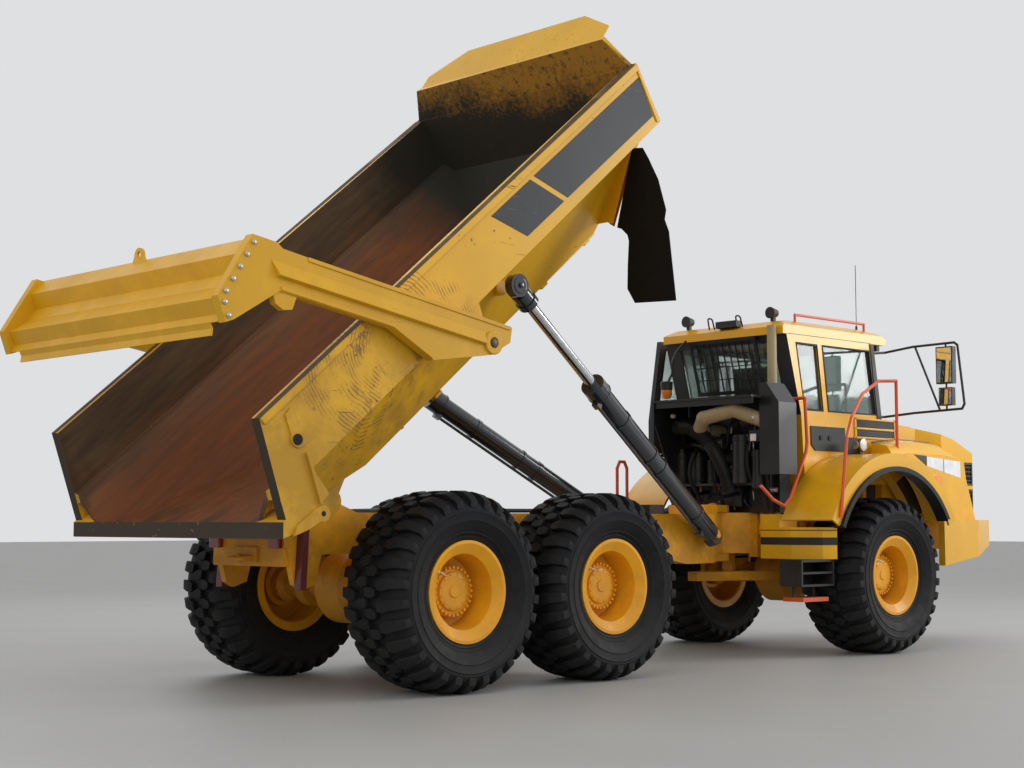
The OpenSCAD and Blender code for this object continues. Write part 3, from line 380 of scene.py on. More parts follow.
def lining(name, colour):
    """Worn steel inside the bed: rust, dark oily patches and long polished streaks."""
    made = Surface(name)
    local = bed_coordinates(made)
    parts = made.split(local)
    streaks = made.noise(made.stretched(local, (0.45, 5.0, 5.0)), 3.2, 6.0, 0.68)
    clouds = made.noise(local, 1.3, 6.0, 0.62)
    flakes = made.noise(local, 26.0, 4.0, 0.7)
    red, green, blue = colour
    orange = (min(1, red * 1.55), green * 1.5, blue * 1.2, 1.0)
    rusty = made.mix(made.ramp(streaks, 0.40, 0.68), rgb(colour), orange)
    upward = made.ramp(made.plus(parts["Z"], made.times(clouds, 0.3)), 0.72, 1.10)
    wall_steel = made.mix(made.ramp(streaks, 0.35, 0.65), (0.085, 0.055, 0.034, 1), (0.15, 0.095, 0.048, 1))
    walls = made.mix(upward, rusty, wall_steel)
    # Bands where the load was dragged over the sill
    drag = made.noise(made.stretched(local, (0.7, 2.6, 0.7)), 1.9, 3.0, 0.5)
    dragged = made.times(made.ramp(drag, 0.50, 0.56), made.ramp(parts["X"], -0.35, -0.80))
    walls = made.mix(made.times(dragged, 0.75), walls, (0.060, 0.034, 0.016, 1.0))
    forward = made.ramp(parts["X"], 2.3, 4.0)
    patches = made.ramp(made.plus(made.times(clouds, 0.9), forward), 0.85, 1.35)
    stained = made.mix(patches, walls, (0.036, 0.032, 0.022, 1.0))
    # The headboard keeps some of its paint, most of it along the top and on the right
    rightward = made.times(parts["Y"], -0.22)
    paint_left = made.plus(made.ramp(parts["Z"], 0.75, 1.62), rightward)
    mottled = made.plus(made.times(flakes, 0.55), made.times(clouds, 0.75))
    rubbed = made.ramp(made.plus(mottled, made.times(paint_left, 0.60)), 0.85, 1.12)
    specks = made.ramp(made.noise(local, 16.0, 6.0, 0.75), 0.66, 0.52)
    kept = made.times(made.times(rubbed, specks), made.ramp(parts["X"], 4.22, 4.40))
    made.put("Base Color", made.mix(kept, stained, (0.42, 0.20, 0.024, 1.0)))
    made.put("Roughness", made.ramp(streaks, 0.3, 0.75, 0.55, 0.75))
    made.put("Specular IOR Level", 0.25)
    made.put("Metallic", made.ramp(patches, 0.0, 1.0, 0.0, 0.15))
    made.bump(made.plus(made.times(flakes, 0.5), streaks), 0.35, 0.004)


def rubber(name, colour, rough=0.72, dust=0.28):
    """Black rubber, greyed by dust in patches."""
    made = Surface(name)
    mud = made.effect("dirt", Low=0.0, High=1.5, Scale=6.0, Amount=dust)["Mask"]
    clouds = made.noise(made.place, 9.0, 5.0, 0.65)
    base = made.mix(made.ramp(clouds, 0.3, 0.75), rgb(colour), rgb([1.7 * c for c in colour]))
    made.put("Base Color", made.mix(mud, base, (0.045, 0.043, 0.038, 1)))
    made.put("Roughness", made.ramp(clouds, 0.3, 0.8, rough - 0.14, rough + 0.1))
    made.put("Specular IOR Level", 0.22)
    made.grain(120.0, 0.25, 0.002)


def metal(name, colour, rough, dull=0.15, bump=0.05):
    """Bare or plated metal with a slightly uneven polish."""
    made = Surface(name)
    clouds = made.noise(made.stretched(made.place, (1.0, 6.0, 6.0)), 5.0, 5.0, 0.6)
    tint = made.mix(made.ramp(clouds, 0.35, 0.75), rgb(colour), rgb([0.72 * c for c in colour]))
    made.put("Base Color", tint)
    made.put("Roughness", made.ramp(clouds, 0.3, 0.8, rough, rough + dull))
    made.put("Metallic", 1.0)
    made.grain(300.0, bump)


def moulded(name, colour, rough=0.5, bump=0.12, coat=0.0):
    """Moulded plastic with a fine skin."""
    made = Surface(name)
    clouds = made.noise(made.place, 6.0, 4.0, 0.6)
    paler = rgb([min(1, 1.45 * c + 0.004) for c in colour])
    made.put("Base Color", made.mix(made.ramp(clouds, 0.35, 0.7), rgb(colour), paler))
    made.put("Roughness", made.ramp(clouds, 0.3, 0.8, rough - 0.06, rough + 0.12))
    made.put("Coat Weight", coat)
    made.grain(420.0, bump)


def glass(name, tint):
    """Thin tinted glass with a faint film of dust."""
    made = Surface(name)
    film = made.ramp(made.noise(made.place, 3.0, 5.0, 0.65), 0.45, 0.8, 0.0, 0.16)
    made.put("Base Color", made.mix(film, rgb(tint), (0.55, 0.55, 0.52, 1)))
    made.put("Roughness", made.plus(film, 0.02))
    made.put("Transmission Weight", 0.9)
    made.put("IOR", 1.45)


def make_finishes(look):
    """Every finish that the truck uses."""
    # Yellow paints
    paint("cab_paint", look.yellow, rough=0.26, coat=0.3, shade=0.06, dirt=0.16, dirt_low=0.8,
          dirt_high=2.4, scratch=0.10)
    paint("frame_paint", (0.95, 0.43, 0.010), rough=0.42, coat=0.1, shade=0.22, dirt=0.48,
          dirt_low=0.5, dirt_high=2.0, dirt_colour=(0.16, 0.07, 0.02), scratch=0.35)
    paint("wheel_paint", (0.92, 0.42, 0.007), coat=0.2, shade=0.16, dirt_low=0.2, dirt_high=1.5,
          dirt_colour=(0.30, 0.12, 0.015), scratch=0.2)
    paint("tank_paint", look.yellow, rough=0.4, coat=0.1, shade=0.14, dirt=0.22, dirt_low=0.5,
          dirt_high=2.0, dirt_colour=(0.16, 0.07, 0.02), scratch=0.3)
    bed_paint("bed_paint", look.bed_yellow)
    paint("gate_paint", look.bed_yellow, rough=0.33, coat=0.15, shade=0.14, dirt=0.24, dirt_low=2.0,
          dirt_high=5.0, dirt_colour=(0.36, 0.17, 0.012), scratch=0.28)
    # Worn and dirty steel
    paint("arch_dirt", (0.060, 0.042, 0.026), rough=0.75, coat=0.0, shade=0.3, dirt=0.5, dirt_high=3.0,
          dirt_colour=(0.12, 0.085, 0.055), scratch=0.1)
    paint("worn_rail", (0.20, 0.125, 0.055), rough=0.55, coat=0.0, shade=0.3, dirt=0.75, dirt_low=3.0,
          dirt_high=9.0, dirt_colour=(0.045, 0.030, 0.018), scratch=0.7, scratch_colour=(0.50, 0.27, 0.03),
          scratch_scale=4.0)
    paint("worn_edge", (0.026, 0.018, 0.009), rough=0.55, coat=0.0, shade=0.35, dirt=0.2, dirt_high=6.0,
          dirt_colour=(0.09, 0.055, 0.03), scratch=0.7, scratch_colour=(0.42, 0.25, 0.05), scratch_scale=3.5)
    paint("rusty_strip", (0.30, 0.075, 0.02), rough=0.6, coat=0.0, shade=0.3, dirt=0.3, dirt_high=6.0,
          scratch=0.5)
    lining("bed_lining", look.rust)
    # Dark and other paints
    paint("cover_paint", look.dark, rough=0.42, coat=0.15, shade=0.25, dirt_low=0.4, dirt_high=2.2,
          dirt_colour=(0.06, 0.05, 0.04), scratch=0.18, scratch_colour=(0.12, 0.12, 0.12))
    paint("panel_paint", (0.017, 0.021, 0.024), rough=0.45, coat=0.0, shade=0.12, dirt=0.05, scratch=0.3,
          scratch_colour=(0.35, 0.33, 0.3))
    paint("barrel_paint", (0.020, 0.026, 0.033), rough=0.16, coat=0.9, shade=0.12, dirt=0.05, dirt_low=1.0,
          dirt_high=3.0, scratch=0.03, scratch_colour=(0.2, 0.2, 0.2))
    paint("grey_cover", (0.040, 0.042, 0.047), coat=0.3, shade=0.12, dirt=0.06, scratch=0.06,
          scratch_colour=(0.25, 0.25, 0.25))
    paint("rail_paint", look.rail, coat=0.3, dirt=0.12, scratch=0.3)
    paint("duct_paint", (0.42, 0.34, 0.20), rough=0.5, coat=0.0, shade=0.2, dirt=0.25, dirt_high=3.5,
          scratch=0.15)
    paint("engine_paint", (0.05, 0.05, 0.055), rough=0.5, coat=0.0, dirt=0.4, dirt_colour=(0.05, 0.04, 0.03))
    paint("maroon_paint", (0.13, 0.012, 0.02), rough=0.45, dirt=0.3)
    # Rubbers, metals, plastics and glass
    rubber("tyre_rubber", look.rubber)
    rubber("flap_rubber", (0.004, 0.0034, 0.003), rough=0.82, dust=0.06)
    rubber("seal_rubber", (0.009, 0.009, 0.010), rough=0.5, dust=0.1)
    metal("rod_chrome", (0.66, 0.68, 0.71), 0.08, dull=0.08, bump=0.0)
    metal("zinc", (0.62, 0.61, 0.58), 0.34)
    metal("worn_iron", (0.13, 0.11, 0.095), 0.48)
    metal("mirror_glass", (0.78, 0.80, 0.82), 0.02, dull=0.02, bump=0.0)
    moulded("black_plastic", (0.016, 0.016, 0.018))
    moulded("seat_cloth", (0.035, 0.036, 0.04), rough=0.85, bump=0.5)
    moulded("white_plastic", (0.70, 0.70, 0.68), rough=0.4)
    moulded("amber_lens", (0.80, 0.20, 0.01), rough=0.18, coat=0.6)
    moulded("red_lens", (0.20, 0.010, 0.006), rough=0.18, coat=0.6)
    moulded("lamp_lens", (0.72, 0.78, 0.82), rough=0.12, bump=0.02, coat=0.8)
    glass("window_glass", (0.42, 0.50, 0.475))


# The construction's own nodes that stay in view, under their finishes
NODE_FINISH = {
    "frame_paint": ("rear_frame", "rear_axles", "bogie_beams", "hitch", "front_frame", "front_axle"),
    "cab_paint": ("hood", "bumper", "fenders", "cab_shell", "cab_roof"),
    "cover_paint": ("rear_guard", "rear_deck", "steps"),
    "black_plastic": ("grille", "mirrors", "cab_door"),
    "window_glass": ("cab_glass", "door_glass"),
    "barrel_paint": ("hoist_barrel_left", "hoist_barrel_right"),
    "rod_chrome": ("hoist_rod_left", "hoist_rod_right"),
    "wheel_paint": tuple(f"rim_{wheel}" for wheel in WHEELS),
    "engine_paint": ("engine",), "seal_rubber": ("fender_lips",), "seat_cloth": ("cab_interior",),
    "duct_paint": ("air_ducts",), "tank_paint": ("side_tanks",), "rail_paint": ("handrails",),
    "lamp_lens": ("lamps",), "bed_paint": ("bed",), "gate_paint": ("tailgate",),
    "flap_rubber": ("mud_flaps",),
}


def circle(radius, count, start=0.0):
    """Points round a circle, as offsets along its two axes."""
    turns = [2 * math.pi * (i + start) / count for i in range(count)]
    return [(radius * math.cos(turn), radius * math.sin(turn)) for turn in turns]


def arc(x, z, radius, first, last, step):
    """Points of an arc in X and Z between two angles, in degrees."""
    turns = [math.radians(angle) for angle in range(first, last + 1, step)]
    return [(x + radius * math.cos(turn), z + radius * math.sin(turn)) for turn in turns]


def band(inner, outer, width, start=0):
    """Profile of a plain ring."""
    return [(inner, start), (outer, start), (outer, start + width), (inner, start + width)]


def strip(start, end, over):
    """Outline of a strip along a line, as thick as the step over it."""
    return [start, end, (end[0] + over[0], end[1] + over[1]), (start[0] + over[0], start[1] + over[1])]


def on_side(point, sign):
    """A point on the left, or its mirror image on the right."""
    return Vector((point[0], point[1] * sign, point[2]))


class Shape:
    """Collects the faces of one piece, in millimetres in the given frame."""

    def __init__(self, place=TRUCK):
        self.bm = bmesh.new()
        self.place = place

    def add(self, points, faces):
        made = [self.bm.verts.new(point) for point in points]
        for face in faces:
            self.bm.faces.new([made[i] for i in face])
        return self

    def box(self, low, high):
        points = [(x, y, z) for x in (low[0], high[0]) for y in (low[1], high[1]) for z in (low[2], high[2])]
        faces = [(0, 1, 3, 2), (4, 6, 7, 5), (0, 4, 5, 1), (2, 3, 7, 6), (0, 2, 6, 4), (1, 5, 7, 3)]
        return self.add(points, faces)

    def loft(self, rows, closed=True):
        """A skin through rows of points, with both ends filled and one side left open if not closed."""
        n = len(rows[0])
        last = (len(rows) - 1) * n
        faces = [tuple(range(n)), tuple(range(last + n - 1, last - 1, -1))]
        for a in range(0, last, n):
            for k in range(n if closed else n - 1):
                faces.append((a + k, a + (k + 1) % n, a + n + (k + 1) % n, a + n + k))
        return self.add([point for row in rows for point in row], faces)

    def prism(self, outline, start, end, along="y"):
        """An outline in the two other axes, run along one axis from start to end."""
        at = "xyz".index(along)
        return self.loft([[(*point[:at], t, *point[at:]) for point in outline] for t in (start, end)])

    def ring(self, centre, axis, profile, sides=32):
        """A closed profile of (radius, distance along the axis) turned about the axis."""
        axis = Vector(axis).normalized()
        across = axis.orthogonal().normalized()
        other = axis.cross(across)
        centre = Vector(centre)
        points = []
        for a, b in circle(1.0, sides):
            out = across * a + other * b
            points += [centre + axis * along + out * radius for radius, along in profile]
        n = len(profile)
        faces = []
        for i in range(sides):
            a, b = i * n, (i + 1) % sides * n
            faces += [(a + k, a + (k + 1) % n, b + (k + 1) % n, b + k) for k in range(n)]
        return self.add(points, faces)

    def rod(self, start, end, radius, sides=20, end_radius=None, soft=0.0):
        """A round bar with closed, slightly broken ends."""
        start, end = Vector(start), Vector(end)
        length = (end - start).length
        last = end_radius or radius
        edge = soft or min(radius, last, length) * 0.12
        tiny = min(radius, last) * 0.02
        profile = [(tiny, 0), (radius - edge, 0), (radius, edge)]
        profile += [(last, length - edge), (last - edge, length), (tiny, length)]
        return self.ring(start, end - start, profile, sides)

    def pipe(self, path, radius, sides=12, smooth=4, ribbed=False):
        """A bent pipe or hose along a path, with its corners rounded."""
        points = rounded([Vector(p) for p in path], smooth)
        normal = (points[1] - points[0]).orthogonal().normalized()
        rows = []
        for i, point in enumerate(points):
            ahead = (points[min(i + 1, len(points) - 1)] - points[max(i - 1, 0)]).normalized()
            normal = (normal - ahead * normal.dot(ahead)).normalized()
            other = ahead.cross(normal)
            size = radius * (0.88 if ribbed and i % 2 else 1.0)
            rows.append([point + (normal * a + other * b) * size for a, b in circle(1.0, sides)])
        return self.loft(rows)

    def bolt(self, at, axis, radius=14, height=11):
        """A hexagon head on a round washer."""
        axis = Vector(axis).normalized()
        at = Vector(at)
        bore = radius * 0.02
        washer, low, top = height * 0.25, height * 0.7, height * 0.8
        self.ring(at, axis, [(bore, 0), (radius * 1.35, 0), (radius * 1.35, washer), (bore, washer)], 14)
        head = [(bore, 0), (radius, 0), (radius, low), (radius * 0.8, top), (bore, top)]
        self.ring(at + axis * height * 0.2, axis, head, 6)

    def both(self):
        """Adds the mirror image on the truck's other side."""
        geometry = self.bm.verts[:] + self.bm.edges[:] + self.bm.faces[:]
        copied = bmesh.ops.duplicate(self.bm, geom=geometry)["geom"]
        for vert in [g for g in copied if isinstance(g, bmesh.types.BMVert)]:
            vert.co.y = -vert.co.y
        bmesh.ops.reverse_faces(self.bm, faces=[g for g in copied if isinstance(g, bmesh.types.BMFace)])
        return self

    def piece(self, name, body, surface, slot, bevel=0.0, flat_angle=34.0):
        """Turns the faces into a finished object that rides on a body."""
        bmesh.ops.recalc_face_normals(self.bm, faces=self.bm.faces)
        self.bm.transform(self.place)
        mesh = bpy.data.meshes.new(name)
        self.bm.to_mesh(mesh)
        self.bm.free()
        made = bpy.data.objects.new(name, mesh)
        bpy.context.scene.collection.objects.link(made)
        mesh.materials.append(SURFACES[surface])
        if bevel:
            soften = made.modifiers.new("Broken edges", "BEVEL")
            soften.width = bevel * MM
            soften.segments = 2
            soften.limit_method = "ANGLE"
            soften.angle_limit = math.radians(flat_angle)
        mesh.shade_smooth()
        mesh.set_sharp_from_angle(angle=math.radians(flat_angle))
        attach(made, body)
        return made


def rounded(points, steps):
    """A path whose inner corners are replaced by short curves."""
    if steps < 2:
        return points
    path = [points[0]]
    for before, corner, after in zip(points, points[1:], points[2:]):
        back, ahead = before - corner, after - corner
        reach = min(back.length, ahead.length) * 0.45
        start, end = corner + back.normalized() * reach, corner + ahead.normalized() * reach
        for i in range(steps + 1):
            t = i / steps
            path.append(start.lerp(corner, t).lerp(corner.lerp(end, t), t))
    path.append(points[-1])
    return path


def second_finish(node, surface, chosen, place=TRUCK):
    """Another finish on the faces of a node picked by their middle, in millimetres, and their normal."""
    mesh = frame["nodes"][node].data
    mesh.materials.append(SURFACES[surface])
    back = place.inverted()
    turned = back.to_3x3().normalized()
    for face in mesh.polygons:
        if chosen(*(back @ face.center), turned @ face.normal):
            face.material_index = len(mesh.materials) - 1


def lamp_housing(x, y, z, way):
    """Whether a face belongs to a lamp behind the headlamps, which are the only glass ones."""
    return x < 6500


def inside_cab(x, y, z, way):
    """Whether a face of the cab looks at the driver's seat."""
    inward = Vector((5750 - x, -y, 2700 - z))
    return inward.normalized().dot(way) > 0.2 and abs(y) < CAB_SIDE - 3


def shaded_cab_back(x, y, z, way):
    """Whether a face of the cab lies on its rear wall, above the deck, where black stands in as painted
    shade on the yellow cab.
    """
    return way.x < -0.7 and z > 2350 and x < 5300


def tall_cover(x, y, z, way):
    """Whether a face of the rear deck is the tall cover's right side."""
    return way.y < -0.5 and y < -757 and 1720 < z < 2720


def step_foot(x, y, z, way):
    """Whether a face of the steps belongs to the lowest bar."""
    return z < STEPS_LOW + 40


def rod_eye(x, y, z, way):
    """Whether a face of a hoist's rod belongs to its eye."""
    return math.hypot(x - HOIST_EYE[0], z - HOIST_EYE[2]) < 260


def under_arch(x, y, z, way):
    """Whether a face of the fenders lies inside the wheel arch."""
    inward = Vector((FRONT_X - x, 0, TYRE_R - z))
    lining = inward.length < 1180 and abs(y) < 1385 and inward.normalized().dot(way) > 0.3
    return lining or (abs(way.y) > 0.7 and abs(y) < 1000 and abs(inward.x) < 1500 and z < 1800)


def rail_top(x, y, z, way):
    """Whether a face of the lowered bed lies on top of its side rails."""
    return way.z > 0.9 and abs(y) > 1395 and z > 2700


class TRUCK_OT_finishes(bpy.types.Operator):
    """Make every finish and put it on the construction's own pieces"""

    bl_idname = "truck.finishes"
    bl_label = "Paints and rubbers"

    def execute(self, context):
        make_finishes(context.scene.truck_finishes)
        for surface, nodes in NODE_FINISH.items():
            for name in nodes:
                materials = frame["nodes"][name].data.materials
                materials.clear()
                materials.append(SURFACES[surface])
        second_finish("lamps", "black_plastic", lamp_housing)
        # Rear-facing faces of the yellow cab above the deck get black plastic as painted shade.
        second_finish("cab_shell", "black_plastic", shaded_cab_back)
        second_finish("cab_shell", "black_plastic", inside_cab)
        second_finish("rear_deck", "grey_cover", tall_cover)
        second_finish("steps", "rail_paint", step_foot)
        for side, _ in SIDES:
            second_finish(f"hoist_rod_{side}", "barrel_paint", rod_eye)
        second_finish("fenders", "arch_dirt", under_arch)
        second_finish("bed", "worn_rail", rail_top, BED)
        return {"FINISHED"}


def tread_radius(across, groove):
    """Radius of a tyre's tread at a distance from its middle plane."""
    fall = max(0.0, abs(across) - CROWN) / (SHOULDER - CROWN)
    return TYRE_R - groove - CROWN_FALL * fall ** 2.2


def tyre_mesh(pattern):
    """A tyre about the Y axis at the origin, in millimetres."""
    depth = pattern.depth / MM
    half = TYRE_HALF
    # Side wall with its ribs, from the bead to the shoulder, as steps over the rim and places across
    wall = [(-60, BEAD - 12), (-4, BEAD), (12, BEAD + 14), (30, BEAD + 20), (36, BEAD + 17), (60, BEAD + 38),
            (66, BEAD + 37), (110, half - 20), (150, half - 8), (156, half - 4), (162, half - 9),
            (210, half - 4), (222, half), (230, half - 8)]
    profile = [(RIM_R + step, across) for step, across in wall]
    profile += [(TYRE_R - depth - 95, half - 8), (TYRE_R - depth - 62, half - 26)]
    profile += [(tread_radius(across, depth), across) for across in (half - 52, half - 90, 200, 120, 50)]
    profile += [(radius, -across) for radius, across in profile[::-1]]
    shape = Shape()
    shape.ring((0, 0, 0), LEFT, profile, 120)
    pitch = 2 * math.pi / pattern.lugs
    # Stations of a lug: distance from the middle, leading and trailing edge as shares of a pitch
    shoulder_lug = [(128, -0.10, 0.30), (170, -0.22, 0.36), (215, -0.28, 0.32), (270, -0.29, 0.24),
                    (half - 34, -0.27, 0.22), (half - 8, -0.26, 0.20)]
    centre_lug = [(-6, 0.20, 0.62), (40, 0.16, 0.70), (92, 0.24, 0.66), (112, 0.34, 0.56)]
    for side, shift in ((1, 0.0), (-1, 0.5)):
        for i in range(pattern.lugs):
            start = (i + shift) * pitch
            rows = lug_rows(shoulder_lug, side, start, pitch, depth)
            rows.append(lug_foot(shoulder_lug[-1], side, start, pitch, depth))
            shape.loft(rows, closed=False)
            shape.loft(lug_rows(centre_lug, side, start, pitch, depth), closed=False)
    return shape


def on_tyre(radius, across, angle):
    return Vector((radius * math.cos(angle), across, radius * math.sin(angle)))


def lug_rows(stations, side, start, pitch, depth):
    """Sections of a rubber block that stands on the carcass, with chamfered edges."""
    chamfer = 5
    rows = []
    for across, lead, trail in stations:
        top = tread_radius(across, 0)
        base = tread_radius(across, depth) - 6
        corners = ((lead, base, 0), (lead, top - chamfer, 0), (lead, top, chamfer),
                   (trail, top, -chamfer), (trail, top - chamfer, 0), (trail, base, 0))
        rows.append([on_tyre(radius, side * across, start + share * pitch + inset / radius)
                     for share, radius, inset in corners])
    return rows


def lug_foot(station, side, start, pitch, depth):
    """Last section of a shoulder lug, drawn out over the side wall."""
    across, lead, trail = station
    foot = TYRE_R - depth - 88
    heights = ((0.9, foot), (1, foot + 12), (0.95, foot + 40))
    corners = [(lead, *height) for height in heights] + [(trail, *height) for height in heights[::-1]]
    return [on_tyre(radius, side * (across + 2), start + edge * share * pitch)
            for edge, share, radius in corners]


class TRUCK_OT_tyres(bpy.types.Operator):
    """Put a lugged tyre on each wheel"""

    bl_idname = "truck.tyres"
    bl_label = "Tyres"

    def execute(self, context):
        for wheel in WHEELS:
            shape = tyre_mesh(context.scene.truck_tyres)
            shape.place = Matrix.Translation(middle(f"tyre_{wheel}")) @ Matrix.Scale(MM, 4)
            made = shape.piece(
                f"lugged_tyre_{wheel}", f"wheel_{wheel}", "tyre_rubber", "tyre_rubber", flat_angle=26)
            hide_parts(f"tyre_{wheel}")
        return {"FINISHED"}


def wheel_hub(shape, centre, out):
    """Hub end with a ring of nuts and a stepped cap with bolts, seen from outside the truck."""
    face = centre + out * HUB_OUT
    flange = [(118, -40), (196, -40), (202, -34), (202, -10), (196, -4), (150, -4), (118, -4)]
    shape.ring(face, out, flange, 64)
    for x, z in circle(186, 28):
        nut = face + Vector((x, 0, z))
        shape.rod(nut - out * 8, nut + out * 22, 13, 6)
    shape.ring(face, out, [(2, 24), (120, 24), (146, 18), (150, 10), (150, -6), (2, -6)], 64)
    for x, z in circle(132, 12, 0.5):
        shape.bolt(face + Vector((x, 0, z)) + out * 20, out, 7, 8)
    shape.ring(face, out, [(2, 34), (44, 34), (50, 28), (50, 20), (2, 20)], 32)


def tyre_valve(shape, centre, out):
    """Valve with its bent stem, between the rim and the hub."""
    turn = math.radians(150)
    way = Vector((math.cos(turn), 0, math.sin(turn)))
    root = centre + way * (RIM_R - 95) + out * (BEAD - 34)
    shape.rod(root, root + out * 26 + way * 8, 11, 12)
    shape.pipe([root + out * 20, root + out * 42 + way * 4, root + out * 46 - way * 44], 6, 8)


class TRUCK_OT_hubs(bpy.types.Operator):
    """Put nuts, caps and valves on the hubs"""

    bl_idname = "truck.hubs"
    bl_label = "Wheel hubs"

    def execute(self, context):
        for wheel, sign in WHEELS.items():
            centre = TRUCK.inverted() @ middle(f"tyre_{wheel}")
            out = Vector((0, sign, 0))
            hub = Shape()
            wheel_hub(hub, centre, out)
            hub.piece(f"hub_{wheel}", f"wheel_{wheel}", "wheel_paint", "yellow_paint", bevel=1.5)
            valve = Shape()
            tyre_valve(valve, centre, out)
            valve.piece(f"valve_{wheel}", f"wheel_{wheel}", "zinc", "rod_chrome")
        return {"FINISHED"}


# Half section of the bed's inside and its side view, lowered, halfway through the wall
BED_INSIDE = {"floor_z": 1560, "floor_fall": 0.01, "fold_y": 1316, "fold_z": 2232, "foot_y": 712,
              "side_y": 1400, "head_x": 3728, "head_z": 2753, "head_lean": 0.088, "corner_x": 3042,
              "corner_z": 2178, "corner_slope": 1.02, "tail_x": -350, "tail_rise": 44, "tail_slope": 0.296}


def inside_bed(point):
    """Whether a point of the lowered bed, in millimetres, lies inside the middle of its walls."""
    b = BED_INSIDE
    x, y, z = point.x, abs(point.y), point.z
    slope = (b["fold_z"] - b["floor_z"]) / (b["fold_y"] - b["foot_y"])
    low = b["floor_z"] + max(0.0, (b["corner_x"] - x) * b["floor_fall"])
    low = max(low, b["floor_z"] + (y - b["foot_y"]) * slope)
    low = max(low, b["floor_z"] + b["tail_rise"] + (b["tail_x"] - x) * b["tail_slope"])
    high_x = b["head_x"] + max(0.0, (z - b["head_z"]) * b["head_lean"])
    if z < b["corner_z"]:
        high_x = b["corner_x"] + (z - b["floor_z"]) * b["corner_slope"]
    return z > low and y < b["side_y"] and x < high_x


class TRUCK_OT_bed(bpy.types.Operator):
    """Line the bed with worn steel and add its plates, lugs and bolts"""

    bl_idname = "truck.bed"
    bl_label = "Bed"

    def execute(self, context):
        self.line_inside()
        self.side_panels()
        self.side_plates()
        self.worn_steel()
        self.bolts_and_ribs()
        self.flap_hangers()
        return {"FINISHED"}

    def line_inside(self):
        """Skin of worn steel just over the inner faces of the bed."""
        source = frame["nodes"]["bed"].data
        back = BED.inverted()
        skin = 1.2
        shape = Shape(BED)
        for face in source.polygons:
            points = [back @ source.vertices[i].co for i in face.vertices]
            normal = (points[1] - points[0]).cross(points[2] - points[0])
            if normal.length < 1e-6:
                continue
            normal.normalize()
            centre = sum(points, Vector()) / len(points)
            top_face = normal.z > 0.9 and centre.z > (2900 if abs(centre.y) < 1300 else 2700)
            if top_face or normal.x > 0.6 or not inside_bed(centre + normal * 2) or not inside_bed(centre):
                continue
            shape.add([p + normal * skin for p in points], [tuple(range(len(points)))])
        bmesh.ops.remove_doubles(shape.bm, verts=shape.bm.verts, dist=0.05)
        bmesh.ops.subdivide_edges(shape.bm, edges=shape.bm.edges, cuts=1)
        shape.piece("bed_lining", "bed", "bed_lining", "yellow_paint", flat_angle=30)

    def side_panels(self):
        """Bare dark panels between the rail and the fold of each side, the rail and the front upright."""
        panels = Shape(BED)
        for outline in ([(2043, 2650), (3706, 2640), (3646, 2283), (2268, 2299)],
                        [(1430, 2650), (1990, 2648), (2212, 2299), (1668, 2305)]):
            panels.prism(outline, BED_SIDE + 0.6, BED_SIDE + 3.0)
        panels.both().piece("dark_panels", "bed", "panel_paint", "dark_paint", bevel=0.8)
        rails = Shape(BED)
        rail = [(-1344, 2690), (3745, 2690), (3752, 2751), (-1344, 2751)]
        upright = [(3715, 2690), (3650, 2215), (3700, 2215), (3752, 2740)]
        for outline, end in ((rail, 14), (upright, 12)):
            rails.prism(outline, BED_SIDE + 0.3, BED_SIDE + end)
        rails.both().piece("side_rails", "bed", "bed_paint", "yellow_paint", bevel=5)

    def side_plates(self):
        """Teardrop plates with their plugs, sill lugs and end ribs."""
        plates = Shape(BED)
        teardrop = arc(-1170, 2440, 70, 120, 420, 25) + [(-1085, 2650), (-1160, 2640)]
        sill_lug = arc(-1340, 1890, 62, -150, 90, 20) + [(-1560, 1968), (-1640, 1930), (-1500, 1880)]
        end_rib = [(-1188, 2318), (-1164, 2318), (-1290, 1955), (-1322, 1955)]
        for outline, start, end in ((teardrop, 0.3, 12), (sill_lug, -30, 18), (end_rib, 0.3, 23)):
            plates.prism(outline, BED_SIDE + start, BED_SIDE + end)
        plates.both().piece("side_plates", "bed", "bed_paint", "yellow_paint", bevel=4)
        plugs = Shape(BED)
        for x, z, radius, start, end, sides in ((-1340, 1890, 20, 16, 19, 24), (-1185, 2440, 40, 8, 22, 28),
                                                (-1185, 2440, 14, 20, 24.5, 16)):
            plugs.rod((x, BED_SIDE + start, z), (x, BED_SIDE + end, z), radius, sides)
        plugs.both().piece("side_plugs", "bed", "seal_rubber", "flap_rubber", bevel=2)

    def worn_steel(self):
        """Thin skins on the sill's and the sides' rear edges, and on the tops of the rails."""
        edge_y = BED_SIDE - 1
        skins = Shape(BED)
        skins.prism(strip((-1639, 2059), (-1712, 1971), (-2.3, 1.9)), -edge_y, edge_y)
        skins.prism(strip((-1712, 1968), (-1601, 1923.8), (-1.0, -2.4)), -edge_y, edge_y)
        for near, far in ((1354, edge_y), (-edge_y, -1354)):
            skins.prism(strip((-1613, 2061), (-1345, 2751), (-1.9, 0.7)), near, far)
        skins.piece("worn_edges", "bed", "worn_edge", "yellow_paint")
        tops = Shape(BED).box((-1344, 1392, 2752.2), (3715, 1463, 2754.4))
        tops.both().piece("rail_tops", "bed", "worn_rail", "yellow_paint")

    def bolts_and_ribs(self):
        """Bolts of the spill guard, and ribs under the floor."""
        bolts = Shape(BED)
        for y in (-1080, -760, 760, 1080):
            for z in (2990, 2850):
                bolts.bolt((3782, y, z), FORWARD, 13, 10)
        bolts.piece("guard_bolts", "bed", "zinc", "yellow_paint")
        ribs = Shape(BED)
        for x in (150, 1250, 2350):
            for near, far in ((-700, -520), (520, 700)):
                ribs.box((x, near, 1538), (x + 30, far, 1556))
        for x in (600, 1400, 2200, 2900):
            ribs.box((x, -700, 1512), (x + 90, 700, 1538))
        ribs.piece("floor_ribs", "bed", "bed_paint", "yellow_paint", bevel=4)

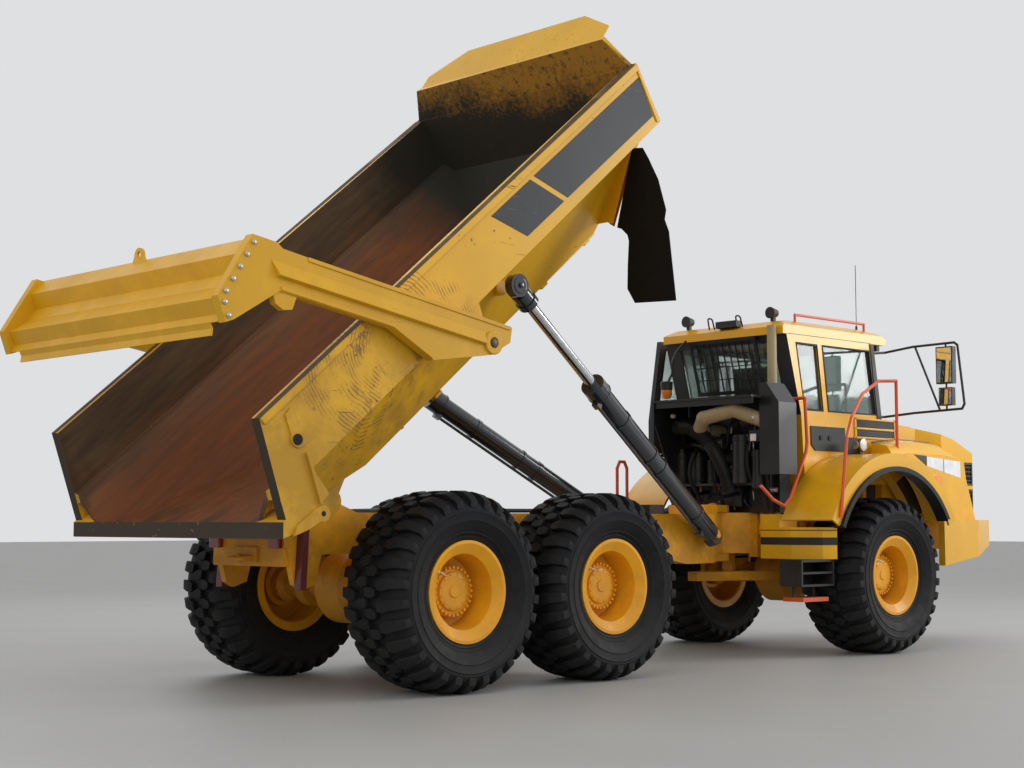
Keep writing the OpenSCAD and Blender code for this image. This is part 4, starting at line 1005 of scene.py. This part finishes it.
    def flap_hangers(self):
        """Bolted strips that clamp the mud flaps, drawn in the flaps' plane."""
        lean = math.radians(25.5)
        plane = BED @ Matrix.Translation((3050, 0, 1520)) @ Matrix.Rotation(lean, 4, "Y")
        clamp = Shape(plane)
        edge_in, edge_out = Vector((905, 85)), Vector((1300, 705))
        along = (edge_out - edge_in).normalized()
        over = Vector((along.y, -along.x))
        clamp.prism(strip(tuple(edge_in), tuple(edge_out), over * 62), 11, 19, "x")
        clamp.prism([(1300, 690), (1440, 668), (1448, 600), (1330, 640)], 11, 17, "x")
        clamp.both().piece("flap_strips", "bed", "rusty_strip", "yellow_paint", bevel=1.5)
        heads = Shape(plane)
        for i in range(9):
            spot = edge_in + along * (50 + i * 78) + over * 30
            heads.bolt((19, spot.x, spot.y), FORWARD, 10, 8)
        heads.both().piece("flap_bolts", "bed", "worn_iron", "dark_paint")


class TRUCK_OT_tailgate(bpy.types.Operator):
    """Add the tailgate's bolts, flanges and pivot rings"""

    bl_idname = "truck.tailgate"
    bl_label = "Tailgate"

    def execute(self, context):
        heads = Shape(GATE)
        for x, z in ((-1547, 2449), (-1603, 2359), (-1658, 2268), (-1714, 2178),
                     (-1770, 2088), (-1779, 2013), (-1747, 1924)):
            heads.ring((x, ARM_SIDE, z), LEFT, [(0.5, 0), (20, 0), (18, 10), (9, 16), (0.5, 17)], 16)
        heads.both().piece("gate_bolts", "tailgate", "zinc", "yellow_paint")
        flanges = Shape(GATE)
        for outline in ([(-1080, 2392), (900, 2056), (896, 2026), (-1080, 2362)],
                        [(-1310, 2135), (-300, 1960), (90, 1748), (90, 1776), (-300, 1992), (-1310, 2166)]):
            flanges.prism(outline, ARM_SIDE + 0.3, ARM_SIDE + 9)
        flanges.both().piece("arm_flanges", "tailgate", "gate_paint", "yellow_paint", bevel=3)
        # The arm's folded channel, drawn at rest and not lowered
        rows = []
        for top, low in (((-2001, 3148), (-1943, 3037)), ((34, 2794), (20, 2703))):
            rows.append([(top[0], ARM_SIDE + 0.5, top[1]), (low[0], ARM_SIDE + 38, low[1]),
                         (low[0] - 4, ARM_SIDE + 0.5, low[1] - 12)])
        Shape().loft(rows).both().piece("arm_channels", "tailgate", "gate_paint", "yellow_paint", bevel=3)
        x, z = GATE_PIN
        boss = [(44, 0), (92, 0), (92, 12), (84, 18), (44, 18)]
        pivots = Shape(GATE).ring((x, ARM_SIDE, z), LEFT, boss, 40)
        pivots.both().piece("pivot_rings", "tailgate", "gate_paint", "yellow_paint", bevel=2)
        cap = [(0.5, 0), (34, 0), (34, 8), (28, 12), (0.5, 12)]
        caps = Shape(BED).ring((x, ARM_SIDE + 6.5, z), LEFT, cap, 28)
        caps.both().piece("pivot_caps", "bed", "worn_iron", "dark_paint")
        return {"FINISHED"}


class TRUCK_OT_hoists(bpy.types.Operator):
    """Add the hoist cylinders' rings and eye caps"""

    bl_idname = "truck.hoists"
    bl_label = "Hoist cylinders"

    def execute(self, context):
        for side, sign in SIDES:
            foot, end = on_side(HOIST_FOOT, sign), on_side(HOIST_EYE, sign)
            way = (end - foot).normalized()
            rings = Shape()
            for at, radius, width in ((2606, 104, 24), (2500, 112, 12), (420, 101, 26), (1480, 101, 26)):
                rings.ring(foot + way * at, way, band(93, radius, width), 36)
            barrel, rod = f"hoist_barrel_{side}", f"hoist_rod_{side}"
            rings.piece(f"barrel_rings_{side}", barrel, "barrel_paint", "dark_paint", bevel=1.5)
            eye = Shape()
            out = Vector((0, sign, 0))
            face = end + out * 65
            eye.ring(face, out, [(0.5, 8), (62, 8), (70, 2), (70, 0), (0.5, 0)], 40)
            eye.bolt(face + out * 8, out, 20, 16)
            eye.ring(end - way * 243, way, band(83, 92, 58, 2), 40)
            eye.piece(f"eye_cap_{side}", rod, "barrel_paint", "dark_paint", bevel=2)
        return {"FINISHED"}


class TRUCK_OT_frames(bpy.types.Operator):
    """Add the bolts, brackets, hoses, springs and towing hitch of the frames"""

    bl_idname = "truck.frames"
    bl_label = "Frames"

    def execute(self, context):
        self.rear()
        self.rear_end()
        self.front()
        return {"FINISHED"}

    def rear(self):
        """Bolts on the rear frame's sides and the bogie beams, and hoses and valves on the frame."""
        heads = Shape()
        for i in range(9):
            for z in (1150, 1330):
                heads.bolt((2550 + i * 85, REAR_SIDE, z), LEFT, 11, 10)
        for x, z in arc(835, 1130, 108, 22, 337, 45):
            heads.bolt((x, BOGIE_SIDE, z), LEFT, 12, 10)
        heads.both().piece("rear_frame_bolts", "rear_chassis", "worn_iron", "yellow_paint")
        hoses = Shape()
        for y in (-250, -190, 180, 240):
            hoses.pipe([(3650, y, 1420), (3000, y * 1.2, 1428), (1200, y, 1424), (300, y * 0.9, 1424),
                        (-200, y, 1405)], 17, 10)
        hoses.pipe([(3560, 330, 1425), (3300, 380, 1450), (2700, 300, 1432), (2400, 200, 1426)], 22, 12)
        hoses.piece("rear_hoses", "rear_chassis", "seal_rubber", "dark_paint")
        blocks = Shape()
        blocks.box((3350, -300, 1400.5), (3560, -60, 1490))
        blocks.box((2450, 60, 1210.5), (2620, 260, 1460))
        blocks.rod((3400, 150, 1400), (3400, 150, 1520), 70, 24)
        blocks.piece("valve_blocks", "rear_chassis", "cover_paint", "dark_paint", bevel=5)

    def rear_end(self):
        """Towing hitch, tail lamps, stop straps, and the pins of the levers by the middle axle."""
        tow = Shape()
        tow.box((-1106, -160, 1010), (-1080.5, 160, 1130))
        tow.prism([(-1106, 1020), (-1190, 1024), (-1200, 1040), (-1190, 1056), (-1106, 1064)], -110, 110)
        tow.rod((-1160, 0, 1010), (-1160, 0, 1074), 20, 20)
        tow.piece("rear_tow_hitch", "rear_chassis", "frame_paint", "yellow_paint", bevel=6)
        lamps = Shape().box((-1125, 330, 1120), (-1081, 470, 1200))
        lamps.both().piece("tail_lamps", "rear_chassis", "red_lens", "rail_red", bevel=8)
        outline = [(-985, 800), (-955, 1290), (-900, 1290), (-925, 800)]
        straps = Shape().prism(outline, REAR_SIDE, REAR_SIDE + 81)
        straps.both().piece("stop_straps", "rear_chassis", "maroon_paint", "rail_red", bevel=2)
        pins = Shape()
        pins.rod((1752, 690, 1488), (1752, 640, 1488), 26, 20)
        pins.bolt((1752, 690, 1488), LEFT, 16, 12)
        pins.both().piece("lever_pins", "rear_chassis", "zinc", "rod_chrome")

    def front(self):
        """Bolts on the front frame, springs of the struts, bands of the tanks and hoses over the hitch."""
        heads = Shape()
        for i in range(5):
            heads.bolt((4960 + i * 90, FRONT_SIDE, 1330 - i * 10), LEFT, 11, 10)
        heads.both().piece("front_frame_bolts", "front_unit", "worn_iron", "yellow_paint")
        springs = Shape()
        turns, steps, radius, rise = 6, 12, 108, 4.1
        for sign in (1, -1):
            coil = []
            for i in range(turns * steps + 1):
                angle = 2 * math.pi * i / steps
                coil.append((FRONT_X + radius * math.cos(angle), 560 * sign + radius * math.sin(angle),
                             915 + i * rise))
            springs.pipe(coil, 13, 8, smooth=1)
        springs.piece("strut_springs", "front_unit", "cover_paint", "dark_paint")
        bands = Shape()
        round_tank = [(4726, 562), (4726, 942), (4847, 1234), (4990, 1305), (4990, 1290), (4856, 1222),
                      (4737, 938), (4737, 562)]
        for low, high in ((1098, 1172), (1238, 1246)):
            bands.prism(round_tank, low, high, "z")
        bands.both().piece("tank_bands", "front_unit", "cover_paint", "dark_paint", bevel=2)
        hoses = Shape()
        for sign in (-1, 1):
            route = [(4300, 180, 1505), (4480, 220, 1560), (4700, 240, 1600), (4880, 260, 1640)]
            hoses.pipe([on_side(point, sign) for point in route], 20, 10)
        hoses.pipe([(4880, -330, 1700), (4700, -360, 1520), (4880, -420, 1440)], 18, 10)
        hoses.piece("hitch_hoses", "front_unit", "seal_rubber", "dark_paint")


class TRUCK_OT_service_bay(bpy.types.Operator):
    """Fill the open bay behind the cab with its filters, pipes and hoses"""

    bl_idname = "truck.service_bay"
    bl_label = "Bay behind the cab"

    def execute(self, context):
        self.filters()
        self.hoses()
        self.pipes_and_plates()
        return {"FINISHED"}

    def filters(self):
        """Round filters, bands on the construction's canisters, and square housings."""
        cans = Shape()
        for x, y, low, high, radius in ((4640, -400, 1700, 2210, 95), (4660, -590, 1650, 2050, 62),
                                        (4800, 620, 1720, 2010, 60)):
            cans.rod((x, y, low), (x, y, high), radius, 28, soft=14)
            cans.ring((x, y, high - 70), UP, band(radius, radius + 8, 22), 28)
        for x, y, radius, high in ((4740, 470, 90, 2040), (4740, 250, 90, 2040), (4720, 20, 70, 1960)):
            for z in (1740, high - 60):
                cans.ring((x, y, z), UP, band(radius, radius + 7, 20), 32)
        cans.rod((4600, -230, 2120), (4600, 60, 2120), 70, 24, soft=10)
        for low, high in (((4760, -300, 1480), (4868, -40, 1900)), ((4790, -640, 1420), (4868, -380, 1990)),
                          ((4720, 420, 2060), (4868, 640, 2420)), ((4770, -200, 2120), (4868, 200, 2230))):
            cans.box(low, high)
        cans.piece("filters", "front_unit", "cover_paint", "dark_paint", bevel=8)

    def hoses(self):
        """The thick ribbed hose and the bundle of thin ones."""
        route = [(4520, 330, 2290), (4470, 160, 2300), (4500, -40, 2190), (4560, -190, 1940),
                 (4640, -260, 1640)]
        thick = Shape().pipe(route, 78, 20, smooth=16, ribbed=True)
        thick.piece("ribbed_hose", "front_unit", "seal_rubber", "dark_paint", flat_angle=60)
        hoses = Shape()
        routes = [
            [(4860, 500, 1900), (4600, 560, 2180), (4520, 520, 2200), (4500, 470, 1900), (4640, 420, 1500)],
            [(4860, 560, 1700), (4560, 600, 2080), (4500, 580, 1800), (4680, 500, 1450)],
            [(4860, 150, 2180), (4620, 200, 2060), (4560, 240, 1800), (4700, 150, 1480)],
            [(4860, -80, 2100), (4560, -60, 2020), (4540, -90, 1760), (4720, -130, 1460)],
            [(4860, -480, 2150), (4640, -500, 2160), (4560, -520, 1900), (4720, -560, 1500)],
            [(4860, -620, 2240), (4680, -680, 2180), (4640, -690, 1900), (4780, -640, 1450)],
            [(4860, -350, 2380), (4640, -330, 2360), (4560, -300, 2260), (4600, -250, 2100)],
        ]
        for i, route in enumerate(routes):
            hoses.pipe(route, 15 + 4 * (i % 3), 10, smooth=6)
        hoses.piece("bay_hoses", "front_unit", "seal_rubber", "dark_paint")

    def pipes_and_plates(self):
        """Steel pipes, brackets, small pale fittings and the clamps on the air ducts."""
        pipes = Shape()
        for y, top in ((-150, 2420), (-430, 2300), (20, 2300), (260, 2450)):
            route = [(4840, y, 1450), (4790, y, 1560), (4790, y, top - 120), (4860, y + 30, top)]
            pipes.pipe(route, 11, 8, smooth=5)
        pipes.pipe([(4780, -735, 1640), (4740, -620, 1650), (4800, -520, 1700)], 26, 12)
        pipes.piece("bay_pipes", "front_unit", "zinc", "rod_chrome")
        plates = Shape()
        plates.box((4300, 470, 1950), (4316, 500, 2549))
        plates.prism([(4316, 2549), (4860, 2549), (4860, 1500), (4700, 1500), (4316, 2350)], 478, 492)
        plates.box((4560, -660, 2120), (4600, -560, 2240))
        plates.piece("bay_plates", "front_unit", "cover_paint", "dark_paint", bevel=3)
        fittings = Shape()
        fittings.box((4553, -655, 2130), (4559, -580, 2200))
        fittings.box((4500, -120, 2512), (4548, -90, 2548))
        fittings.rod((4540, 400, 2420), (4500, 400, 2420), 22, 16)
        fittings.piece("bay_fittings", "front_unit", "white_plastic", "duct_beige", bevel=2)
        clamps = Shape()
        for at, way in (((4380, -130, 2370), (-0.25, -0.95, 0.25)),
                        ((4520, -660, 2360), (0.45, -0.8, -0.35)), ((4600, 35, 2254), FORWARD)):
            clamps.ring(at, way, band(72, 76, 22, -11), 36)
        clamps.piece("duct_bands", "front_unit", "zinc", "rod_chrome")


def hoop(shape, outline, width, start, end):
    """A frame of the given width round an outline in X and Z, between two values of Y."""
    n = len(outline)
    centre = Vector((sum(x for x, _ in outline) / n, sum(z for _, z in outline) / n))
    inner = []
    for x, z in outline:
        inward = (centre - Vector((x, z))).normalized() * width * 1.4
        inner.append((x + inward.x, z + inward.y))
    points = [(x, y, z) for y in (start, end) for x, z in outline + inner]
    faces = []
    m = 2 * n
    for i in range(n):
        j = (i + 1) % n
        faces += [(i, j, n + j, n + i), (m + j, m + i, m + n + i, m + n + j),
                  (j, i, m + i, m + j), (n + i, n + j, m + n + j, m + n + i)]
    shape.add(points, faces)


class TRUCK_OT_cab(bpy.types.Operator):
    """Add the cab's seals, trims, vents, beacon and aerial"""

    bl_idname = "truck.cab"
    bl_label = "Cab"

    def execute(self, context):
        self.seals()
        self.side_cover_and_painted_shade()
        self.hood_vents()
        self.side_sockets()
        self.beacon_and_aerial()
        self.roof_lamps()
        self.door()
        return {"FINISHED"}

    def seals(self):
        """Black seals round the side windows, and the dark frame of the windscreen."""
        seals = Shape()
        for y, outline in ((-CAB_SIDE, [(5170, 2455), (5030, 3145), (5395, 3145), (5490, 2455)]),
                           (-CAB_SIDE, [(5570, 2455), (5475, 3145), (6325, 3145), (6445, 2455)]),
                           (CAB_SIDE, [(5170, 2455), (5030, 3145), (5525, 3145), (5620, 2455)])):
            hoop(seals, outline, 16, y - 6, y + 6)
        seals.piece("window_seals", "front_unit", "seal_rubber", "flap_rubber", bevel=2)
        pillars = Shape()
        outline = [(6330, 3215), (6390, 3215), (6528, 2412), (6452, 2412)]
        pillars.prism(outline, -CAB_SIDE - 12, -CAB_SIDE - 0.5)
        # The closed door lies close to the left pillar
        pillars.prism(outline, CAB_SIDE + 0.2, CAB_SIDE + 0.8)
        pillars.box((4900, -801, 3222), (6370, -795, 3226))
        pillars.piece("front_pillars", "front_unit", "black_plastic", "dark_paint", bevel=3)

    def side_cover_and_painted_shade(self):
        """Dark plate on the cab's right side: the black panel, drawn on under the vents towards the fender
        as painted shade in the gap between the cab and the fender.
        """
        # The black panel runs to X 5850; beyond it, under the vents and down towards the fender, the plate
        # is painted shade in the gap between the cab and the fender.
        outline = [(5255, 2300), (5850, 2300), (5850, 2206), (6020, 2204), (6020, 2196), (6235, 2196),
                   (6240, 2110), (6030, 2020), (5940, 1880), (5850, 1890), (5850, 2050), (5330, 2050),
                   (5262, 2110)]
        cover = Shape().prism(outline, -CAB_SIDE - 12, -CAB_SIDE - 0.5)
        cover.piece("side_cover_and_painted_shade", "front_unit", "panel_paint", "dark_paint", bevel=3)

    def hood_vents(self):
        """Framed vents beside the hood, two rows of four slats on each side."""
        frames = Shape()
        vents = Shape()
        for sign, back in ((-1, 6030), (1, 6525)):
            skin, slat, lip, rim = [(CAB_SIDE + over) * sign for over in (0.4, 6, 12, 16)]
            for x, wide in ((back, 30), (6758, 26)):
                frames.prism([(x, 2204), (x + wide, 2204), (x + wide - 8, 2418), (x - 8, 2420)], skin, rim)
            for z in (2200, 2298, 2400):
                frames.prism([(back - 8, z), (6784, z - 6), (6784, z + 14), (back - 8, z + 20)], skin, rim)
            for low, high in ((2318, 2400), (2222, 2298)):
                vents.prism([(back + 20, low), (6762, low), (6762, high), (back + 20, high)], skin, slat)
                for z in range(low + 8, low + 63, 18):
                    outline = [(back + 24, z), (6760, z - 4), (6760, z + 2), (back + 24, z + 6)]
                    vents.prism(outline, slat, lip)
        frames.piece("vent_frames", "front_unit", "cab_paint", "yellow_paint", bevel=3)
        vents.piece("hood_vents", "front_unit", "black_plastic", "dark_paint", bevel=1)

    def side_sockets(self):
        """Two sockets in the dark side cover."""
        sockets = Shape()
        for x in (5420, 5570):
            sockets.ring((x, -CAB_SIDE - 12, 2185), (0, -1, 0), [(0.5, 0), (28, 0), (24, 10), (0.5, 10)], 24)
        sockets.piece("side_sockets", "front_unit", "seal_rubber", "flap_rubber")

    def beacon_and_aerial(self):
        """Beacon on its bent stalk behind the cab, and the aerial on the roof."""
        x, y, z = 4560, 520, 2700
        stalk = Shape()
        stalk.pipe([(4870, 480, 3260), (4700, 500, 3120), (4620, 500, 2980), (4640, 500, 2900),
                    (4580, y, z + 80)], 13, 10)
        stalk.rod((x, y, z), (x, y, z + 90), 62, 28, end_radius=66)
        aerial_x, aerial_y = 6330, -640
        stalk.rod((aerial_x, aerial_y, 3345), (aerial_x, aerial_y, 3420), 12, 10)
        aerial = [(aerial_x, aerial_y, 3400), (aerial_x, aerial_y, 3900), (aerial_x - 2, aerial_y, 4080)]
        stalk.pipe(aerial, 4, 6)
        stalk.piece("beacon_stalk", "front_unit", "black_plastic", "dark_paint", bevel=2)
        dome = [(0.5, 0), (58, 0), (56, 50), (40, 84), (0.5, 92)]
        lens = Shape().ring((x, y, z), (0, 0, -1), dome, 32)
        lens.piece("beacon", "front_unit", "amber_lens", "lamp_glass")

    def roof_lamps(self):
        """Lamps along the roof's front, and the one at its back."""
        lamps = Shape()
        for y in (-640, -470, 470, 640):
            lamps.box((6610, y - 62, 3168), (6668, y + 62, 3262))
            lamps.ring((6669, y, 3215), FORWARD, [(0.5, 0), (44, 0), (40, 7), (0.5, 9)], 28)
        lamps.box((6560, -720, 3262), (6650, 720, 3280))
        lamps.piece("roof_front_lamps", "front_unit", "black_plastic", "dark_paint", bevel=6)
        rear = Shape()
        for y in (-250, 120):
            rear.pipe([(4870, y, 3330), (4830, y, 3440), (4830, y + 60, 3450), (4860, y + 60, 3330)], 9, 8)
        rear.box((4810, -210, 3330), (4900, 60, 3400))
        rear.piece("roof_rear_lamp", "front_unit", "black_plastic", "dark_paint", bevel=8)

    def door(self):
        """Seal and handle on the open door."""
        seal = Shape(DOOR)
        hoop(seal, [(5770, 2460), (5745, 3200), (6290, 3200), (6425, 2460)], 14, 855, 869)
        seal.piece("door_seal", "cab_door", "seal_rubber", "flap_rubber", bevel=2)
        grip = [(5830, 862, 2400), (5830, 905, 2420), (5830, 905, 2900), (5830, 862, 2920)]
        handle = Shape(DOOR).pipe(grip, 11, 10)
        handle.piece("door_handle", "cab_door", "black_plastic", "dark_paint")


def wing_y(x):
    """Distance from the truck's middle to the outside of a wing."""
    stations = ((6145, 1160), (6945, 1085), (7745, 1000), (8135, 960))
    for (x0, y0), (x1, y1) in zip(stations, stations[1:]):
        if x <= x1:
            break
    return y0 + (y1 - y0) * (x - x0) / (x1 - x0)


def on_wing(shape, outline, start, end):
    """An outline in X and Z laid on the outside of the left wing, between two heights over it."""
    shape.loft([[(x, wing_y(x) + height, z) for x, z in outline] for height in (start, end)])


class TRUCK_OT_nose(bpy.types.Operator):
    """Add the lamps, seams, mesh and mirrors of the hood, wings and bumper"""

    bl_idname = "truck.nose"
    bl_label = "Nose"

    def execute(self, context):
        self.work_lamp()
        self.wings()
        self.lamps_on_wings()
        self.grille_mesh()
        self.mirrors()
        return {"FINISHED"}

    def work_lamp(self):
        """Lens and rim of the lamp on the right fender, which shines to the side."""
        out, back = (0, -1, 0), (-1, 0, 0)
        x, z = 5818, 2115
        lens = Shape().ring((x, -1052, z), out, [(0.5, 0), (52, 0), (50, 14), (30, 20), (0.5, 22)], 32)
        lens.piece("work_lamp_lens", "front_unit", "white_plastic", "lamp_glass")
        rim = Shape().ring((x, -1046, z), out, [(53, 0), (62, 0), (62, 18), (53, 20)], 32)
        rim.ring((x - 59, -1000, z), back, [(0.5, 0), (42, 0), (38, 8), (0.5, 10)], 28)
        rim.piece("work_lamp_rim", "front_unit", "zinc", "rod_chrome")

    def wings(self):
        """Crowned tops of the wings, and the seams beside the hood."""
        inner_y = 907
        rows = []
        for x, top, inner in ((6180, 2003, 2150), (6545, 2046, 2196), (6900, 2046, 2196), (7345, 2046, 2180),
                              (7560, 2031, 2120), (7700, 2021, 2060)):
            y = wing_y(x)
            rise = inner - top
            rows.append([(x, y, top), (x, y - 14, top + 0.35 * rise), (x, y - 60, top + 0.78 * rise),
                         (x, 925, inner), (x, inner_y, inner - 4), (x, inner_y, top - 12)])
        crowns = Shape().loft(rows)
        crowns.both().piece("wing_crowns", "front_unit", "cab_paint", "yellow_paint", flat_angle=50)
        seams = Shape()
        seam = [(6190, 2155), (6545, 2197), (6900, 2197), (7345, 2181), (7560, 2121)]
        for sign in (1, -1):
            seams.pipe([(x, sign * (inner_y + 1), z) for x, z in seam], 9, 8)
        seams.piece("wing_seams", "front_unit", "black_plastic", "dark_paint")

    def lamps_on_wings(self):
        """Black tips of the headlamps, and the indicators."""
        tips = Shape()
        on_wing(tips, [(6665, 2038), (6948, 2030), (6948, 1922)], 0.5, 5)
        on_wing(tips, [(7348, 1868), (7356, 1866), (7356, 2006), (7348, 2008)], 0.5, 3)
        tips.both().piece("headlamp_tips", "front_unit", "black_plastic", "dark_paint", bevel=1)
        markers = Shape()
        on_wing(markers, [(7076, 1826), (7286, 1828), (7262, 1726), (7110, 1730)], 0.5, 14)
        markers.both().piece("indicators", "front_unit", "amber_lens", "lamp_glass", bevel=4)

    def grille_mesh(self):
        """Upright bars behind the grille's openings, in two rows, round both corners."""
        mesh = Shape()
        rows = [(low + 18, low + 242) for low in (1430, 1730)]
        for low, high in rows:
            for i in range(7):
                x = NOSE_X - 405 + 27 * i
                mesh.box((x, 884, low), (x + 7, 892, high))
        mesh.both()
        for low, high in rows:
            for i in range(27):
                y = -700 + 52 * i
                mesh.box((NOSE_X - 19, y, low), (NOSE_X - 12, y + 8, high))
        mesh.piece("grille_mesh", "front_unit", "black_plastic", "dark_paint", bevel=1)

    def mirrors(self):
        """Backs, panes and braces of the mirrors."""
        backs = Shape().box((6731, 1415, 2785), (6735, 1590, 3145))
        backs.both().piece("mirror_backs", "front_unit", "black_plastic", "dark_paint", bevel=1)
        panes = Shape().box((6651, 1417, 2784), (6655, 1588, 3146))
        panes.box((6656, 1440, 2550), (6660, 1580, 2720))
        panes.both().piece("mirror_panes", "front_unit", "mirror_glass", "rod_chrome", bevel=1)
        braces = Shape().rod((6700, 1128, 3185), (6700, 1420, 2490), 12, 12)
        braces.both().piece("mirror_braces", "front_unit", "black_plastic", "dark_paint")


class TRUCK_OT_stage(bpy.types.Operator):
    """Floor, soft lamps and the camera at the photograph's place"""

    bl_idname = "truck.stage"
    bl_label = "Stage"

    def execute(self, context):
        look = context.scene.truck_stage
        self.floor(look.floor)
        self.world(look.sky)
        self.lamps(look.lamp)
        self.camera(look.focal)
        return {"FINISHED"}

    def place(self, name, data):
        """An object of the stage, put into the scene."""
        made = bpy.data.objects.new(name, data)
        bpy.context.scene.collection.objects.link(made)
        return made

    def floor(self, colour):
        surface = Surface("floor")
        clouds = surface.noise(surface.place, 0.7, 5.0, 0.6)
        surface.put("Base Color", surface.mix(clouds, rgb([0.93 * c for c in colour]), rgb(colour)))
        surface.put("Roughness", surface.ramp(clouds, 0.3, 0.7, 0.5, 0.62))
        reach = 90.0
        mesh = bpy.data.meshes.new("floor")
        corners = [(-reach, -reach, 0), (reach, -reach, 0), (reach, reach, 0), (-reach, reach, 0)]
        mesh.from_pydata(corners, [], [(0, 1, 2, 3)])
        mesh.materials.append(SURFACES["floor"])
        self.place("floor", mesh)

    def world(self, sky):
        """Soft light from all round, with a pale background for the camera and through glass."""
        world = bpy.data.worlds.new("soft_sky")
        bpy.context.scene.world = world
        world.use_nodes = True
        tree = Tree(world.node_tree)
        world.node_tree.nodes.clear()
        path = tree.add("ShaderNodeLightPath").outputs
        seen = tree.math("MAXIMUM", path["Is Camera Ray"], path["Is Transmission Ray"])
        soft = tree.add("ShaderNodeBackground", {"Color": (0.97, 0.97, 0.98, 1), "Strength": sky})
        pale = tree.add("ShaderNodeBackground", {"Color": (0.80, 0.81, 0.82, 1), "Strength": 0.92})
        blend = tree.add("ShaderNodeMixShader", {0: seen, 1: soft.outputs[0], 2: pale.outputs[0]})
        tree.add("ShaderNodeOutputWorld", {"Surface": blend.outputs[0]})

    def lamps(self, power):
        """Three soft lamps that look at the truck's middle, each with its share of the power."""
        aim = Vector((0.0, 0.0, 1.8))
        for name, spot, size, share in (("key", (13.0, -9.5, 7.0), 7.0, 1.0),
                                        ("fill", (-12.0, -6.0, 8.0), 9.0, 0.28),
                                        ("back", (4.0, 12.0, 10.0), 8.0, 0.22)):
            data = bpy.data.lights.new(name, "AREA")
            data.size = size
            data.energy = power * share
            made = self.place(name, data)
            made.location = spot
            made.rotation_euler = (aim - Vector(spot)).to_track_quat("-Z", "Y").to_euler()

    def camera(self, focal):
        """The photograph's camera, placed from the rear axle."""
        data = bpy.data.cameras.new("camera")
        data.lens = focal
        data.sensor_width = 36.0
        data.clip_end = 400.0
        made = self.place("camera", data)
        made.location = (REAR_X - 8.832, -11.105, 1.329)
        yaw, pitch = 46.209, 4.652
        made.rotation_euler = (math.radians(90 + pitch), 0, math.radians(yaw - 90))
        bpy.context.scene.camera = made
        bpy.context.scene.view_settings.view_transform = "Standard"


OPERATORS = (
    TRUCK_OT_finishes, TRUCK_OT_tyres, TRUCK_OT_hubs, TRUCK_OT_bed, TRUCK_OT_tailgate, TRUCK_OT_hoists,
    TRUCK_OT_frames, TRUCK_OT_service_bay, TRUCK_OT_cab, TRUCK_OT_nose, TRUCK_OT_stage)


class TRUCK_PT_panel(bpy.types.Panel):
    """Buttons for the truck's pieces and its stage"""

    bl_idname = "TRUCK_PT_panel"
    bl_label = "Dump truck"
    bl_space_type = "VIEW_3D"
    bl_region_type = "UI"
    bl_category = "Truck"

    def draw(self, context):
        for group in (context.scene.truck_finishes, context.scene.truck_tyres, context.scene.truck_stage):
            for name in group.__annotations__:
                self.layout.prop(group, name)
        for operator in OPERATORS:
            self.layout.operator(operator.bl_idname)


CLASSES = (Finishes, TyrePattern, StageLight) + OPERATORS + (TRUCK_PT_panel,)


def register():
    for cls in CLASSES:
        bpy.utils.register_class(cls)
    bpy.types.Scene.truck_finishes = bpy.props.PointerProperty(type=Finishes)
    bpy.types.Scene.truck_tyres = bpy.props.PointerProperty(type=TyrePattern)
    bpy.types.Scene.truck_stage = bpy.props.PointerProperty(type=StageLight)


def unregister():
    del bpy.types.Scene.truck_finishes
    del bpy.types.Scene.truck_tyres
    del bpy.types.Scene.truck_stage
    for cls in reversed(CLASSES):
        bpy.utils.unregister_class(cls)


def main():
    """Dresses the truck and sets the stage."""
    register()
    for operator in OPERATORS:
        group, name = operator.bl_idname.split(".")
        getattr(getattr(bpy.ops, group), name)()


if __name__ == "__main__":
    main()
